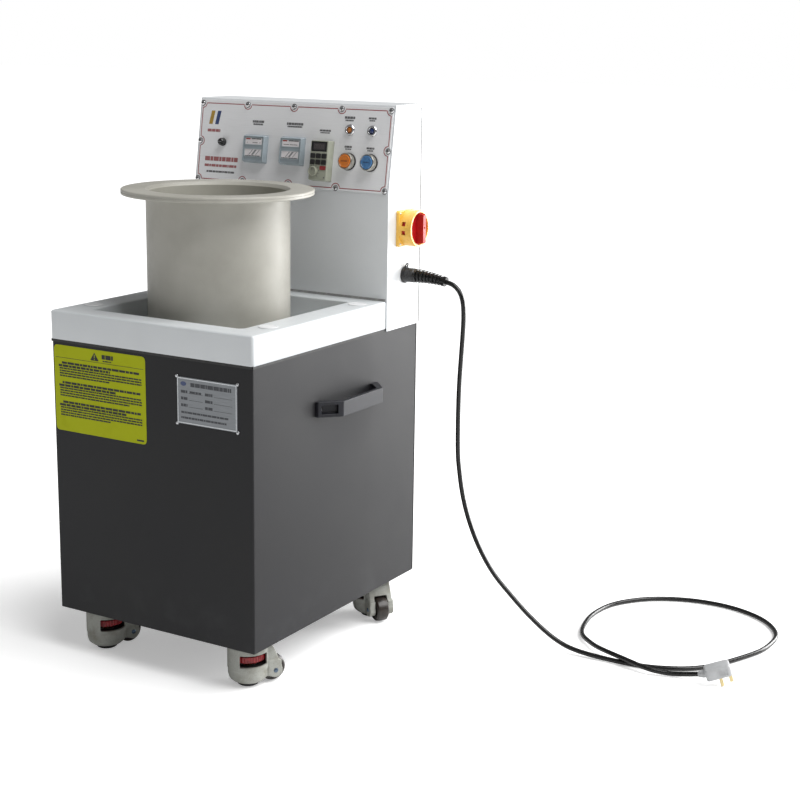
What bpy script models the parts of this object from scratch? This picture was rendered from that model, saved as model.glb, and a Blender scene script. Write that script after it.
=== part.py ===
"""Magnetic polishing machine: a floor-standing cabinet on four levelling casters.

A white tray on the grey cabinet has a square well, and a flanged plastic tub stands in it.
Under the well a motor turns a disc of magnets. A console behind the tub carries the controls,
the isolator switch and the mains cord. Metres, +Z up, the front faces -Y, the floor is z = 0.
"""
from math import atan2, cos, pi, radians, sin, tan

import bmesh
import bpy
from mathutils import Euler, Matrix, Vector

# ---- driving dimensions ----------------------------------------------------------------------
GAP = 0.0003                # between pieces that touch
RUN = 0.0001                # running clearance of turned pieces

BODY_W = 0.450              # tray and cabinet, left to right
BODY_D = 0.550              # front to back
CASTER_H = 0.086            # floor to the cabinet's lower edge
CABINET_H = 0.514           # cabinet wall
SHEET = 0.002               # steel sheet of cabinet, tray and console
CABINET_INSET = 0.0015      # cabinet face behind the tray's skirt
REAR_FLANGE = 0.022
BASE_T = 0.003

SKIRT_H = 0.0523            # tray skirt
WELL_W = 0.336              # square well in the tray
WELL_D = 0.340
WELL_Y = -0.0575            # middle of the well
WELL_DEPTH = 0.060
WELL_CORNER = 0.008
RIM_CAP_R = 0.018           # round plastic caps in the tray's rim
RIM_CAP_STUB_R = 0.014
RIM_CAP_T = 0.0016
RIM_CAP_INSET_FRONT = 0.085

CONSOLE_DEPTH = 0.120       # front to back at its foot
CONSOLE_H = 0.365           # above the tray's rim
CONSOLE_PROUD = 0.0013      # console side outside the tray's skirt
CONSOLE_LAP = 0.0055        # console side hangs this far below the skirt
PANEL_FOOT = 0.1987         # lower edge of the sloping face above the rim
PANEL_LEAN = 0.0252         # the sloping face leans back by this much
PANEL_T = 0.002
PANEL_MARGIN = 0.004
WINDOW_MARGIN = 0.020       # rim of the cut-out behind the control panel

TUB_Y = -0.068              # axis of tub, magnets and motor
TUB_R = 0.1307
TUB_WALL = 0.005
TUB_H = 0.277
TUB_FLOOR = 0.006
TUB_FLANGE_R = 0.175
TUB_FLANGE_T = 0.010
TUB_BEVEL = 0.004

DISC_R = 0.115              # magnet disc
DISC_T = 0.012
MAGNET_R = 0.019
MAGNET_T = 0.008
MAGNET_COUNT = 8
MAGNET_RING_R = 0.085
HUB_R = 0.030
HUB_T = 0.010
SHAFT_R = 0.012
SHAFT_L = 0.050
MOTOR_R = 0.075
MOTOR_H = 0.220
MOTOR_FLANGE_R = 0.098
MOTOR_FLANGE_T = 0.012
BRIDGE_T = 0.004
BRIDGE_W = 0.240
BRIDGE_LIP = 0.030

TIMER_SIZE = 0.048
TIMER_BASE = 0.054
TIMER_PROUD = 0.012
TIMER_BODY = 0.044
TIMER_DEPTH = 0.060
TIMER_U = (-0.081, 0.006)   # across the panel from its middle
TIMER_V = 0.072             # up the panel from its lower edge
KEYPAD_W = 0.0395
KEYPAD_H = 0.074
KEYPAD_PROUD = 0.018
KEYPAD_FLARE = 0.003
KEYPAD_UV = (0.0775, 0.057)
INVERTER_W = 0.072
INVERTER_H = 0.118
INVERTER_DEPTH = 0.062
KNOB_R = 0.0095
KNOB_T = 0.006
KNOB_UV = (0.068, 0.036)
STOP_KEY = (0.013, 0.0075)
STOP_KEY_T = 0.0022
STOP_KEY_UV = (0.0882, 0.043)
KEY_TRAVEL = 0.0008
LAMP_R = 0.0105
LAMP_PROUD = 0.005
LAMP_BODY_R = 0.008
LAMP_DEPTH = 0.038
LAMP_U = (0.1315, 0.181)
LAMP_V = 0.118
BUTTON_R = 0.0155
BUTTON_PROUD = 0.0145
BUTTON_CAP_R = 0.0126
BUTTON_CAP_PROUD = 0.0162
BUTTON_BODY_R = 0.011
BUTTON_DEPTH = 0.045
BUTTON_TRAVEL = 0.003
BUTTON_U = (0.1335, 0.182)
BUTTON_V = 0.059
FUSE_R = 0.008
FUSE_PROUD = 0.014
FUSE_BODY_R = 0.006
FUSE_DEPTH = 0.035
FUSE_UV = (-0.1625, 0.082)

SIDE_Y = 0.2185             # isolator and cord gland on the console's right side
ISOLATOR_UP = 0.1347         # above the tray's rim
ISOLATOR_SIZE = 0.068
ISOLATOR_PLATE_T = 0.006
SHROUD_R = 0.0343
SHROUD_WALL = 0.0023
SHROUD_H = 0.0325
DIAL_CLEAR = 0.0003         # dial inside the shroud
DIAL_RECESS = 0.0040        # dial's face below the shroud's lip
DIAL_LIFT = 0.0015          # dial's underside above the plate
SHROUD_SLOT = 0.0084        # square slots in the shroud's wall
SHROUD_SLOT_Z = 0.0154
SHROUD_SLOTS = (162, 191, 342, 11)
GRIP_L = 0.056
GRIP_W = 0.0096
ISOLATOR_DEPTH = 0.043      # console side to the front of the grip
DIAL_SHAFT_R = 0.010
SWITCH_BLOCK = (0.060, 0.048, 0.054)

GLAND_UP = 0.0442            # above the tray's rim
GLAND_FLANGE_R = 0.016
GLAND_FLANGE_T = 0.004
GLAND_R = 0.0138
GLAND_L = 0.025
RELIEF_R = (0.0118, 0.0088)

CORD_R = 0.0045
CORD_TURN = radians(11)     # the drawn tube gets a point at every such bend
CORD_REACH = 0.045          # or at most this far apart
PLUG_L = 0.047              # along the cord
PLUG_D = 0.030
PLUG_T = 0.022              # in the direction of the pins
PLUG_PLACE = (0.8897, 0.2334, 0.0297)
PLUG_TURN = (4.2, -17.9, 26.5)
PIN_L = 0.018
PIN_W = 0.0065
PIN_T = 0.0018
PINS = {"live": (0.0015, -0.0085, 30), "neutral": (0.0015, 0.0085, -30), "earth": (0.0195, 0.0, 0)}

HANDLE_LENGTH = 0.205       # over the feet
HANDLE_BAR = 0.138          # outer length of the bar
HANDLE_DEPTH = 0.038
HANDLE_H = 0.028
HANDLE_FOOT = 0.020
HANDLE_BAR_T = 0.008
HANDLE_Y = 0.018
HANDLE_DROP = 0.111         # below the cabinet's upper edge

CASTER_X = 0.166            # swivel axes from the middle
CASTER_Y = (-0.214, 0.206)
CASTER_PLATE = 0.073
CASTER_PLATE_T = 0.004
CASTER_TURN = {"front_right": 57, "front_left": 68, "rear_right": -35, "rear_left": 140}
HOUSING_R = 0.0375
HOUSING_TOP = 0.0807
RING_Z = 0.0080             # lower edge of the housing's ring
WINDOW_Z = (0.042, 0.064)   # side windows in the housing
WINDOW_HALF = 0.0255
HOUSING_WALL = 0.005
PAD_CAVITY_R = 0.0212
FORK_W = 0.048
FORK_SLOT = 0.027
AXLE_OUT = 0.044            # axle beside the swivel axis
AXLE_R = 0.003
AXLE_LOBE = 0.0135
WHEEL_R = 0.0245
WHEEL_W = 0.0245
WHEEL_LIFT = 0.001          # the machine stands on its pads
THUMB_R = 0.0312
THUMB_Z = (0.048, 0.060)
PAD_R = 0.0195
PAD_T = 0.009
STEM_R = 0.007
STEM_TOP = 0.066

# ---- places worked out from the sizes --------------------------------------------------------
CABINET_TOP = CASTER_H + CABINET_H
RIM_Z = CABINET_TOP + SKIRT_H
ISOLATOR_Z = RIM_Z + ISOLATOR_UP
GLAND_Z = RIM_Z + GLAND_UP
HANDLE_Z = CABINET_TOP - HANDLE_DROP
WELL_FLOOR = RIM_Z - WELL_DEPTH
CONSOLE_Y = BODY_D / 2 - CONSOLE_DEPTH
CONSOLE_HALF = BODY_W / 2 + CONSOLE_PROUD
CONSOLE_TOP = RIM_Z + CONSOLE_H
PANEL_Z = RIM_Z + PANEL_FOOT
PANEL_RISE = CONSOLE_TOP - PANEL_Z
PANEL_ANGLE = atan2(PANEL_LEAN, PANEL_RISE)
PANEL_LENGTH = PANEL_RISE / cos(PANEL_ANGLE)
RIGHT_REACH = CONSOLE_HALF + ISOLATOR_DEPTH
LEFT_REACH = BODY_W / 2 - CABINET_INSET + HANDLE_DEPTH
MIDDLE_X = (RIGHT_REACH - LEFT_REACH) / 2

# The cord: out of the bend protector, down to the floor, one loose loop, back to the plug.
CORD_ROUTE = [
    (0.3180, 0.2185, 0.6900), (0.3330, 0.2185, 0.6860), (0.3460, 0.2185, 0.6755),
    (0.3540, 0.2185, 0.6580), (0.3570, 0.2185, 0.6300), (0.3560, 0.2187, 0.5900),
    (0.3505, 0.2192, 0.4850), (0.3505, 0.2198, 0.3750), (0.3550, 0.2200, 0.3250),
    (0.3640, 0.2205, 0.2750), (0.3790, 0.2210, 0.2270), (0.4020, 0.2215, 0.1780),
    (0.4330, 0.2220, 0.1330), (0.4720, 0.2228, 0.0950), (0.5170, 0.2240, 0.0570),
    (0.5680, 0.2255, 0.0240), (0.6177, 0.2275, 0.0090), (0.7046, 0.2316, 0.0047),
    (0.7760, 0.2455, 0.0047), (0.8430, 0.2925, 0.0047), (0.8960, 0.3980, 0.0047),
    (0.9110, 0.4650, 0.0047), (0.9030, 0.5330, 0.0047), (0.8560, 0.5930, 0.0047),
    (0.7800, 0.6260, 0.0047), (0.6960, 0.6230, 0.0047), (0.6190, 0.5850, 0.0047),
    (0.5680, 0.5180, 0.0047), (0.5540, 0.4420, 0.0047), (0.5640, 0.3700, 0.0050),
    (0.5840, 0.3180, 0.0066), (0.6161, 0.2825, 0.0090), (0.6485, 0.2570, 0.0117),
    (0.7052, 0.2280, 0.0149), (0.7550, 0.2155, 0.0115), (0.7784, 0.2190, 0.0080),
    (0.8030, 0.2275, 0.0058), (0.8235, 0.2315, 0.0078), (0.8455, 0.2278, 0.0140),
    (0.8671, 0.2224, 0.0214),
]


# ---- mesh tools ------------------------------------------------------------------------------
def material(name, colour, roughness, metallic=0.0):
    """One Principled material for one piece."""
    made = bpy.data.materials.new(name)
    made.use_nodes = True
    shader = made.node_tree.nodes["Principled BSDF"]
    shader.inputs["Base Color"].default_value = (*colour, 1.0)
    shader.inputs["Roughness"].default_value = roughness
    shader.inputs["Metallic"].default_value = metallic
    made.diffuse_color = (*colour, 1.0)
    return made


def add_object(name, shape, finish, parent=None, smooth=False):
    """Turn a bmesh into a named object with its own material."""
    bmesh.ops.recalc_face_normals(shape, faces=shape.faces)
    mesh = bpy.data.meshes.new(name)
    shape.to_mesh(mesh)
    shape.free()
    if smooth:
        mesh.shade_smooth()
        mesh.set_sharp_from_angle(angle=radians(30))
    made = bpy.data.objects.new(name, mesh)
    bpy.context.collection.objects.link(made)
    mesh.materials.append(material(name, *finish))
    made.parent = parent
    return made


def add_empty(name, place, turn=(0, 0, 0), parent=None):
    """A joint's axis or a sub-assembly's own frame."""
    made = bpy.data.objects.new(name, None)
    made.empty_display_size = 0.03
    made.location = place
    made.rotation_euler = turn
    made.parent = parent
    bpy.context.collection.objects.link(made)
    return made


def cut(target, shape, operation="DIFFERENCE", name="cutter"):
    """Boolean a bmesh with an object, keeping the cutter as a hidden wire object."""
    tool = add_object(f"{target.name}_{name}", shape, ((0.5, 0.5, 0.5), 0.5), target.parent)
    tool.location = target.location
    tool.rotation_euler = target.rotation_euler
    tool.hide_render = True
    tool.display_type = "WIRE"
    step = target.modifiers.new(name, "BOOLEAN")
    step.operation = operation
    step.object = tool
    step.solver = "EXACT"
    return tool


def loft(shape, loops):
    """Skin a closed solid over loops of equal vertex counts, with flat ends."""
    rings = [[shape.verts.new(point) for point in loop] for loop in loops]
    for lower, upper in zip(rings, rings[1:]):
        count = len(lower)
        for i in range(count):
            j = (i + 1) % count
            shape.faces.new((lower[i], lower[j], upper[j], upper[i]))
    shape.faces.new(list(reversed(rings[0])))
    shape.faces.new(rings[-1])
    return shape


def add_box(shape, low, high):
    """A plain block between two corners."""
    corners = [(low[0], low[1]), (high[0], low[1]), (high[0], high[1]), (low[0], high[1])]
    return loft(shape, [[(x, y, z) for x, y in corners] for z in (low[2], high[2])])


def rounded_rect(width, depth, radius, z, middle=(0.0, 0.0), steps=3):
    """A level rectangle with round corners, counter-clockwise."""
    points = []
    for corner, (sx, sy) in enumerate(((1, 1), (-1, 1), (-1, -1), (1, -1))):
        cx = middle[0] + sx * (width / 2 - radius)
        cy = middle[1] + sy * (depth / 2 - radius)
        for step in range(steps + 1):
            angle = (corner + step / steps) * pi / 2
            points.append((cx + radius * cos(angle), cy + radius * sin(angle), z))
    return points


def circle(radius, z, segments, middle=(0.0, 0.0)):
    """A level ring of points."""
    turn = 2 * pi / segments
    return [(middle[0] + radius * cos(i * turn), middle[1] + radius * sin(i * turn), z)
            for i in range(segments)]


def cylinder(radius, low, high, segments=32, middle=(0.0, 0.0)):
    """A plain upright cylinder as a new bmesh."""
    return loft(bmesh.new(), [circle(radius, z, segments, middle) for z in (low, high)])


def turned(profile, segments):
    """Turn (radius, height) points about Z; both ends of the profile are flat discs."""
    return loft(bmesh.new(), [circle(radius, z, segments) for radius, z in profile])


def turned_ring(profile, segments):
    """Turn a closed (radius, height) outline about Z into a ring with a bore."""
    shape = bmesh.new()
    rings = [[shape.verts.new(p) for p in circle(r, z, segments)] for r, z in profile]
    for lower, upper in zip(rings, rings[1:] + rings[:1]):
        for i in range(segments):
            j = (i + 1) % segments
            shape.faces.new((lower[i], lower[j], upper[j], upper[i]))
    return shape


def prism(outline, low, high, plane="XY"):
    """Extrude an outline: XY along Z, YZ along X, or XZ along Y."""
    place = {"XY": lambda a, b, c: (a, b, c), "YZ": lambda a, b, c: (c, a, b),
             "XZ": lambda a, b, c: (a, c, b)}[plane]
    return loft(bmesh.new(), [[place(a, b, c) for a, b in outline] for c in (low, high)])


# ---- cabinet ---------------------------------------------------------------------------------
def cabinet_shell(machine):
    """One sheet bent round the front and both sides, with flanges at the back."""
    outer = BODY_W / 2 - CABINET_INSET
    inner = outer - SHEET
    front = -BODY_D / 2 + CABINET_INSET
    back = BODY_D / 2 - CABINET_INSET - SHEET - GAP
    lip = outer - REAR_FLANGE
    outline = [(-outer, front), (outer, front), (outer, back), (lip, back), (lip, back - SHEET),
               (inner, back - SHEET), (inner, front + SHEET), (-inner, front + SHEET),
               (-inner, back - SHEET), (-lip, back - SHEET), (-lip, back), (-outer, back)]
    shape = prism(outline, CASTER_H, CABINET_TOP - GAP)
    add_object("cabinet_shell", shape, ((0.075, 0.080, 0.088), 0.55, 0.2), machine)


def caster_places():
    """Name and swivel axis of each caster."""
    return [(f"{end}_{side}", (sx * CASTER_X, y))
            for end, y in (("front", CASTER_Y[0]), ("rear", CASTER_Y[1]))
            for side, sx in (("left", -1), ("right", 1))]


def base_plate(machine):
    """Floor of the cabinet with the four caster plates welded under it."""
    half_w = BODY_W / 2 - CABINET_INSET - SHEET - GAP
    front = -BODY_D / 2 + CABINET_INSET + SHEET + GAP
    back = BODY_D / 2 - CABINET_INSET - 2 * SHEET - 2 * GAP
    shape = add_box(bmesh.new(), (-half_w, front, CASTER_H), (half_w, back, CASTER_H + BASE_T))
    plate = add_object("base_plate", shape, ((0.10, 0.10, 0.11), 0.6, 0.3), machine)
    half = CASTER_PLATE / 2
    for name, (x, y) in caster_places():
        pad = add_box(bmesh.new(), (x - half, y - half, CASTER_H - CASTER_PLATE_T),
                      (x + half, y + half, CASTER_H + BASE_T / 2))
        cut(plate, pad, "UNION", name)


def rear_panel(machine):
    """Screwed access cover behind the cabinet."""
    half = BODY_W / 2 - CABINET_INSET
    back = BODY_D / 2 - CABINET_INSET
    shape = add_box(bmesh.new(), (-half, back - SHEET, CASTER_H),
                    (half, back, CABINET_TOP - CONSOLE_LAP - GAP))
    add_object("rear_panel", shape, ((0.075, 0.080, 0.088), 0.55, 0.2), machine)


def top_tray(machine):
    """Welded tray: skirt, flat rim and the square well that the tub stands in."""
    back = CONSOLE_Y - GAP
    depth = back + BODY_D / 2
    middle = (0.0, back - depth / 2)
    well = (0.0, WELL_Y)
    corner = WELL_CORNER
    loops = [
        rounded_rect(WELL_W, WELL_D, corner, WELL_FLOOR, well),
        rounded_rect(WELL_W, WELL_D, corner, RIM_Z, well),
        rounded_rect(BODY_W, depth, 0.004, RIM_Z, middle),
        rounded_rect(BODY_W, depth, 0.004, CABINET_TOP, middle),
        rounded_rect(BODY_W - 2 * SHEET, depth - 2 * SHEET, 0.002, CABINET_TOP, middle),
        rounded_rect(BODY_W - 2 * SHEET, depth - 2 * SHEET, 0.002, RIM_Z - SHEET, middle),
        rounded_rect(WELL_W + 2 * SHEET, WELL_D + 2 * SHEET, corner + SHEET, RIM_Z - SHEET, well),
        rounded_rect(WELL_W + 2 * SHEET, WELL_D + 2 * SHEET, corner + SHEET,
                     WELL_FLOOR - SHEET, well),
    ]
    finish = ((0.80, 0.82, 0.84), 0.38)
    tray = add_object("top_tray", loft(bmesh.new(), loops), finish, machine)
    for index, place in enumerate(rim_cap_places(), 1):
        hole = cylinder(RIM_CAP_STUB_R + GAP, RIM_Z - 2 * SHEET, RIM_Z + SHEET, 24, place)
        cut(tray, hole, name=f"hole_{index}")


def rim_cap_places():
    """Middles of the four caps, on the rim's side strips."""
    x = (BODY_W + WELL_W) / 4
    front = -BODY_D / 2 + RIM_CAP_INSET_FRONT
    rear = WELL_Y + WELL_D / 2 - 2 * RIM_CAP_STUB_R + 0.012
    return [(-x, front), (x, front), (-x, rear), (x, rear)]


def rim_caps(machine):
    """Snap-in plastic caps over the lifting holes in the rim."""
    for index, (x, y) in enumerate(rim_cap_places(), 1):
        profile = [(RIM_CAP_STUB_R, -SHEET - 0.002), (RIM_CAP_STUB_R, GAP), (RIM_CAP_R, GAP),
                   (RIM_CAP_R, 0.0009), (RIM_CAP_R - 0.0015, RIM_CAP_T)]
        cap = add_object(f"rim_cap_{index}", turned(profile, 24), ((0.78, 0.79, 0.80), 0.45),
                         machine, smooth=True)
        cap.location = (x, y, RIM_Z)


# ---- drive -----------------------------------------------------------------------------------
def tub(machine):
    """Welded plastic tub with a wide flange, free to be lifted out."""
    bore = TUB_R - TUB_WALL
    profile = [
        (bore, TUB_FLOOR), (bore, TUB_H - TUB_BEVEL), (bore + TUB_BEVEL, TUB_H),
        (TUB_FLANGE_R - 0.0015, TUB_H), (TUB_FLANGE_R, TUB_H - 0.0015),
        (TUB_FLANGE_R, TUB_H - TUB_FLANGE_T), (TUB_R, TUB_H - TUB_FLANGE_T),
        (TUB_R, 0.003), (TUB_R - 0.003, 0.0),
    ]
    lift = add_empty("tub_axis", (0, TUB_Y, WELL_FLOOR + GAP), parent=machine)
    add_object("tub", turned(profile, 56), ((0.62, 0.60, 0.55), 0.5), lift, smooth=True)


def disc_top():
    """Height of the magnets' faces, just under the well."""
    return WELL_FLOOR - SHEET - 0.006


def drive(machine):
    """Motor, its bridge, the hub on its shaft and the disc that carries the magnets."""
    top = disc_top()
    disc_base = top - MAGNET_T - DISC_T
    hub_base = disc_base - GAP - HUB_T
    bridge_top = hub_base - 0.012
    spin = add_empty("drive_axis", (0, TUB_Y, 0), parent=machine)

    disc = add_object("magnet_disc", cylinder(DISC_R, disc_base, disc_base + DISC_T, 48),
                      ((0.55, 0.56, 0.58), 0.4, 0.9), spin, smooth=True)
    for index in range(MAGNET_COUNT):
        angle = 2 * pi * (index + 0.5) / MAGNET_COUNT
        place = (MAGNET_RING_R * cos(angle), MAGNET_RING_R * sin(angle))
        magnet = cylinder(MAGNET_R, disc_base + DISC_T / 2, top, 16, place)
        cut(disc, magnet, "UNION", f"magnet_{index}")

    shaft_low = bridge_top - BRIDGE_T - GAP - SHAFT_L
    profile = [(SHAFT_R, shaft_low), (SHAFT_R, hub_base), (HUB_R, hub_base),
               (HUB_R, hub_base + HUB_T)]
    add_object("drive_hub", turned(profile, 32), ((0.5, 0.5, 0.52), 0.35, 0.9), spin, smooth=True)

    bridge_low = bridge_top - BRIDGE_T
    half = BODY_W / 2 - CABINET_INSET - SHEET - GAP
    near, far = TUB_Y - BRIDGE_W / 2, TUB_Y + BRIDGE_W / 2
    outline = [(-half, bridge_top), (-half, bridge_low - BRIDGE_LIP),
               (-half + BRIDGE_T, bridge_low - BRIDGE_LIP), (-half + BRIDGE_T, bridge_low),
               (half - BRIDGE_T, bridge_low), (half - BRIDGE_T, bridge_low - BRIDGE_LIP),
               (half, bridge_low - BRIDGE_LIP), (half, bridge_top)]
    bridge = add_object("motor_bridge", prism(outline, near, far, "XZ"),
                        ((0.16, 0.16, 0.17), 0.5, 0.4), machine)
    hole = cylinder(SHAFT_R + 0.004, bridge_low - 0.01, bridge_top + 0.01, 32, (0, TUB_Y))
    cut(bridge, hole, name="shaft_hole")

    flange_top = bridge_low - GAP
    flange_low = flange_top - MOTOR_FLANGE_T
    bore_low = shaft_low - 0.004
    bore = SHAFT_R + RUN
    profile = [(bore, bore_low), (bore, flange_top), (MOTOR_FLANGE_R, flange_top),
               (MOTOR_FLANGE_R, flange_low), (MOTOR_R, flange_low),
               (MOTOR_R, flange_top - MOTOR_H + 0.02), (MOTOR_R - 0.012, flange_top - MOTOR_H)]
    motor = add_object("drive_motor", turned(profile, 40), ((0.12, 0.16, 0.22), 0.5, 0.3),
                       machine, smooth=True)
    motor.location = (0, TUB_Y, 0)


# ---- console ---------------------------------------------------------------------------------
def console_outline(inset, low, back):
    """Side view of the console, inset all round from its outer faces."""
    slope = tan(PANEL_ANGLE)
    front = CONSOLE_Y + inset
    top = CONSOLE_TOP - inset
    shift = inset / cos(PANEL_ANGLE)
    knee = PANEL_Z + (inset - shift) / slope
    lean = CONSOLE_Y + shift + (top - PANEL_Z) * slope
    return [(front, low), (front, knee), (lean, top), (back, top), (back, low)]


def console_shell(machine):
    """Bent sheet housing with a leaning face, open at the back and below."""
    low = CABINET_TOP - CONSOLE_LAP
    back = BODY_D / 2
    shape = prism(console_outline(0, low, back), -CONSOLE_HALF, CONSOLE_HALF, "YZ")
    shell = add_object("console_shell", shape, ((0.80, 0.82, 0.84), 0.38), machine)
    inner = CONSOLE_HALF - SHEET
    cut(shell, prism(console_outline(SHEET, low - 0.02, back + 0.02), -inner, inner, "YZ"),
        name="inside")
    foot = add_box(bmesh.new(), (-inner, CONSOLE_Y - 0.01, low - 0.01),
                   (inner, CONSOLE_Y + 0.01, CABINET_TOP + GAP))
    cut(shell, foot, name="foot")
    half = CONSOLE_HALF - WINDOW_MARGIN
    window = add_box(bmesh.new(), (-half, WINDOW_MARGIN, -0.01),
                     (half, PANEL_LENGTH - WINDOW_MARGIN, 0.01))
    tool = cut(shell, window, name="window")
    tool.location = (0, CONSOLE_Y, PANEL_Z)
    tool.rotation_euler = (pi / 2 - PANEL_ANGLE, 0, 0)


def console_rear_cover(machine):
    """Flat cover screwed into the back of the console."""
    half = CONSOLE_HALF - SHEET - GAP
    back = BODY_D / 2
    shape = add_box(bmesh.new(), (-half, back - SHEET, CABINET_TOP - CONSOLE_LAP),
                    (half, back, CONSOLE_TOP - SHEET - GAP))
    add_object("console_rear_cover", shape, ((0.80, 0.82, 0.84), 0.4), machine)


def panel_frame(machine):
    """Frame on the leaning face: X across, Y up the slope, Z out of the face."""
    return add_empty("panel_frame", (0, CONSOLE_Y, PANEL_Z), (pi / 2 - PANEL_ANGLE, 0, 0),
                     machine)


def control_panel(face):
    """Brushed plate over the leaning face with a hole for each device."""
    width = 2 * (CONSOLE_HALF - PANEL_MARGIN)
    length = PANEL_LENGTH - 2 * PANEL_MARGIN
    middle = (0, PANEL_LENGTH / 2)
    loops = [rounded_rect(width, length, 0.003, z, middle) for z in (GAP, GAP + PANEL_T)]
    panel = add_object("control_panel", loft(bmesh.new(), loops), ((0.68, 0.68, 0.70), 0.35, 0.8),
                       face)
    low, high = -0.01, 0.02
    holes = [(f"timer_{i}", (u, TIMER_V), TIMER_BODY, TIMER_BODY)
             for i, u in enumerate(TIMER_U)]
    holes.append(("keypad", KEYPAD_UV, KEYPAD_W - 0.004, KEYPAD_H - 0.004))
    for name, (u, v), w, h in holes:
        hole = add_box(bmesh.new(), (u - w / 2 - GAP, v - h / 2 - GAP, low),
                       (u + w / 2 + GAP, v + h / 2 + GAP, high))
        cut(panel, hole, name=name)
    rounds = [(f"lamp_{i}", (u, LAMP_V), LAMP_BODY_R) for i, u in enumerate(LAMP_U)]
    rounds += [(f"button_{i}", (u, BUTTON_V), BUTTON_BODY_R) for i, u in enumerate(BUTTON_U)]
    rounds.append(("fuse", FUSE_UV, FUSE_BODY_R))
    for name, place, radius in rounds:
        cut(panel, cylinder(radius + GAP, low, high, 24, place), name=name)


def timers(face):
    """Square plug-in timers; each body goes through the panel behind its bezel."""
    seat = PANEL_T + 2 * GAP
    for side, u in zip(("left", "right"), TIMER_U):
        middle = (u, TIMER_V)
        loops = [rounded_rect(TIMER_BODY, TIMER_BODY, 0.001, -TIMER_DEPTH, middle),
                 rounded_rect(TIMER_BODY, TIMER_BODY, 0.001, seat, middle),
                 rounded_rect(TIMER_BASE, TIMER_BASE, 0.002, seat, middle),
                 rounded_rect(TIMER_BASE, TIMER_BASE, 0.002, seat + 0.003, middle),
                 rounded_rect(TIMER_SIZE, TIMER_SIZE, 0.002, seat + TIMER_PROUD, middle)]
        add_object(f"timer_{side}", loft(bmesh.new(), loops), ((0.42, 0.46, 0.49), 0.45), face)


def inverter(face):
    """Speed controller: its body behind the panel, its keypad, dial and stop key in front."""
    seat = PANEL_T + 2 * GAP
    u, v = KEYPAD_UV
    w, h = KEYPAD_W, KEYPAD_H
    back = -SHEET - 0.003
    loops = [rounded_rect(w - 0.004, h - 0.004, 0.001, back, (u, v)),
             rounded_rect(w - 0.004, h - 0.004, 0.001, seat, (u, v)),
             rounded_rect(w + KEYPAD_FLARE, h + KEYPAD_FLARE, 0.002, seat, (u, v)),
             rounded_rect(w, h, 0.002, seat + KEYPAD_PROUD, (u, v))]
    keypad = add_object("inverter_keypad", loft(bmesh.new(), loops), ((0.55, 0.56, 0.50), 0.5),
                        face)
    top = seat + KEYPAD_PROUD
    ku, kv = STOP_KEY_UV
    kw, kh = STOP_KEY[0] / 2, STOP_KEY[1] / 2
    deep = STOP_KEY_T
    pocket = add_box(bmesh.new(), (ku - kw - GAP, kv - kh - GAP, top - deep),
                     (ku + kw + GAP, kv + kh + GAP, top + 0.01))
    cut(keypad, pocket, name="key_pocket")
    key = add_box(bmesh.new(), (-kw, -kh, 0), (kw, kh, STOP_KEY_T))
    press = add_empty("stop_key_axis", (ku, kv, top - deep + KEY_TRAVEL + GAP), parent=face)
    add_object("stop_key", key, ((0.62, 0.10, 0.12), 0.4), press)

    turn = add_empty("speed_knob_axis", (*KNOB_UV, top + GAP), parent=face)
    profile = [(KNOB_R, 0), (KNOB_R, KNOB_T - 0.001), (KNOB_R - 0.001, KNOB_T)]
    add_object("speed_knob", turned(profile, 28), ((0.50, 0.50, 0.44), 0.45), turn, smooth=True)

    shape = add_box(bmesh.new(), (u - INVERTER_W / 2, v - INVERTER_H / 2, back - GAP - INVERTER_DEPTH),
                    (u + INVERTER_W / 2, v + INVERTER_H / 2, back - GAP))
    add_object("inverter_body", shape, ((0.10, 0.10, 0.11), 0.5), face)


def lamps(face):
    """Round pilot lamps with chrome bezels."""
    seat = PANEL_T + 2 * GAP
    colours = {"running_lamp": (0.75, 0.35, 0.03), "power_lamp": (0.03, 0.12, 0.35)}
    for (name, colour), u in zip(colours.items(), LAMP_U):
        profile = [(LAMP_BODY_R, -LAMP_DEPTH), (LAMP_BODY_R, seat), (LAMP_R, seat),
                   (LAMP_R, seat + 0.0025), (LAMP_R - 0.003, seat + LAMP_PROUD)]
        lamp = add_object(name, turned(profile, 28), (colour, 0.25, 0.3), face, smooth=True)
        lamp.location = (u, LAMP_V, 0)


def buttons(face):
    """Illuminated push buttons: a bezel with its contact body, and a cap that travels."""
    seat = PANEL_T + 2 * GAP
    colours = {"start_button": (0.75, 0.30, 0.04), "stop_button": (0.10, 0.25, 0.50)}
    bore = BUTTON_CAP_R + GAP
    pit = seat + BUTTON_CAP_PROUD - 0.006 - BUTTON_TRAVEL - GAP
    for (name, colour), u in zip(colours.items(), BUTTON_U):
        profile = [(bore, pit), (bore, seat + BUTTON_PROUD), (BUTTON_R - 0.001, seat + BUTTON_PROUD),
                   (BUTTON_R, seat + BUTTON_PROUD - 0.001), (BUTTON_R, seat), (BUTTON_BODY_R, seat),
                   (BUTTON_BODY_R, -BUTTON_DEPTH)]
        bezel = add_object(f"{name}_bezel", turned(profile, 32), ((0.72, 0.73, 0.72), 0.25, 0.8),
                           face, smooth=True)
        bezel.location = (u, BUTTON_V, 0)
        press = add_empty(f"{name}_axis", (u, BUTTON_V, seat + BUTTON_CAP_PROUD - 0.006), parent=face)
        profile = [(BUTTON_CAP_R, 0), (BUTTON_CAP_R, 0.005), (BUTTON_CAP_R - 0.001, 0.006)]
        add_object(f"{name}_cap", turned(profile, 28), (colour, 0.35), press, smooth=True)


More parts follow.
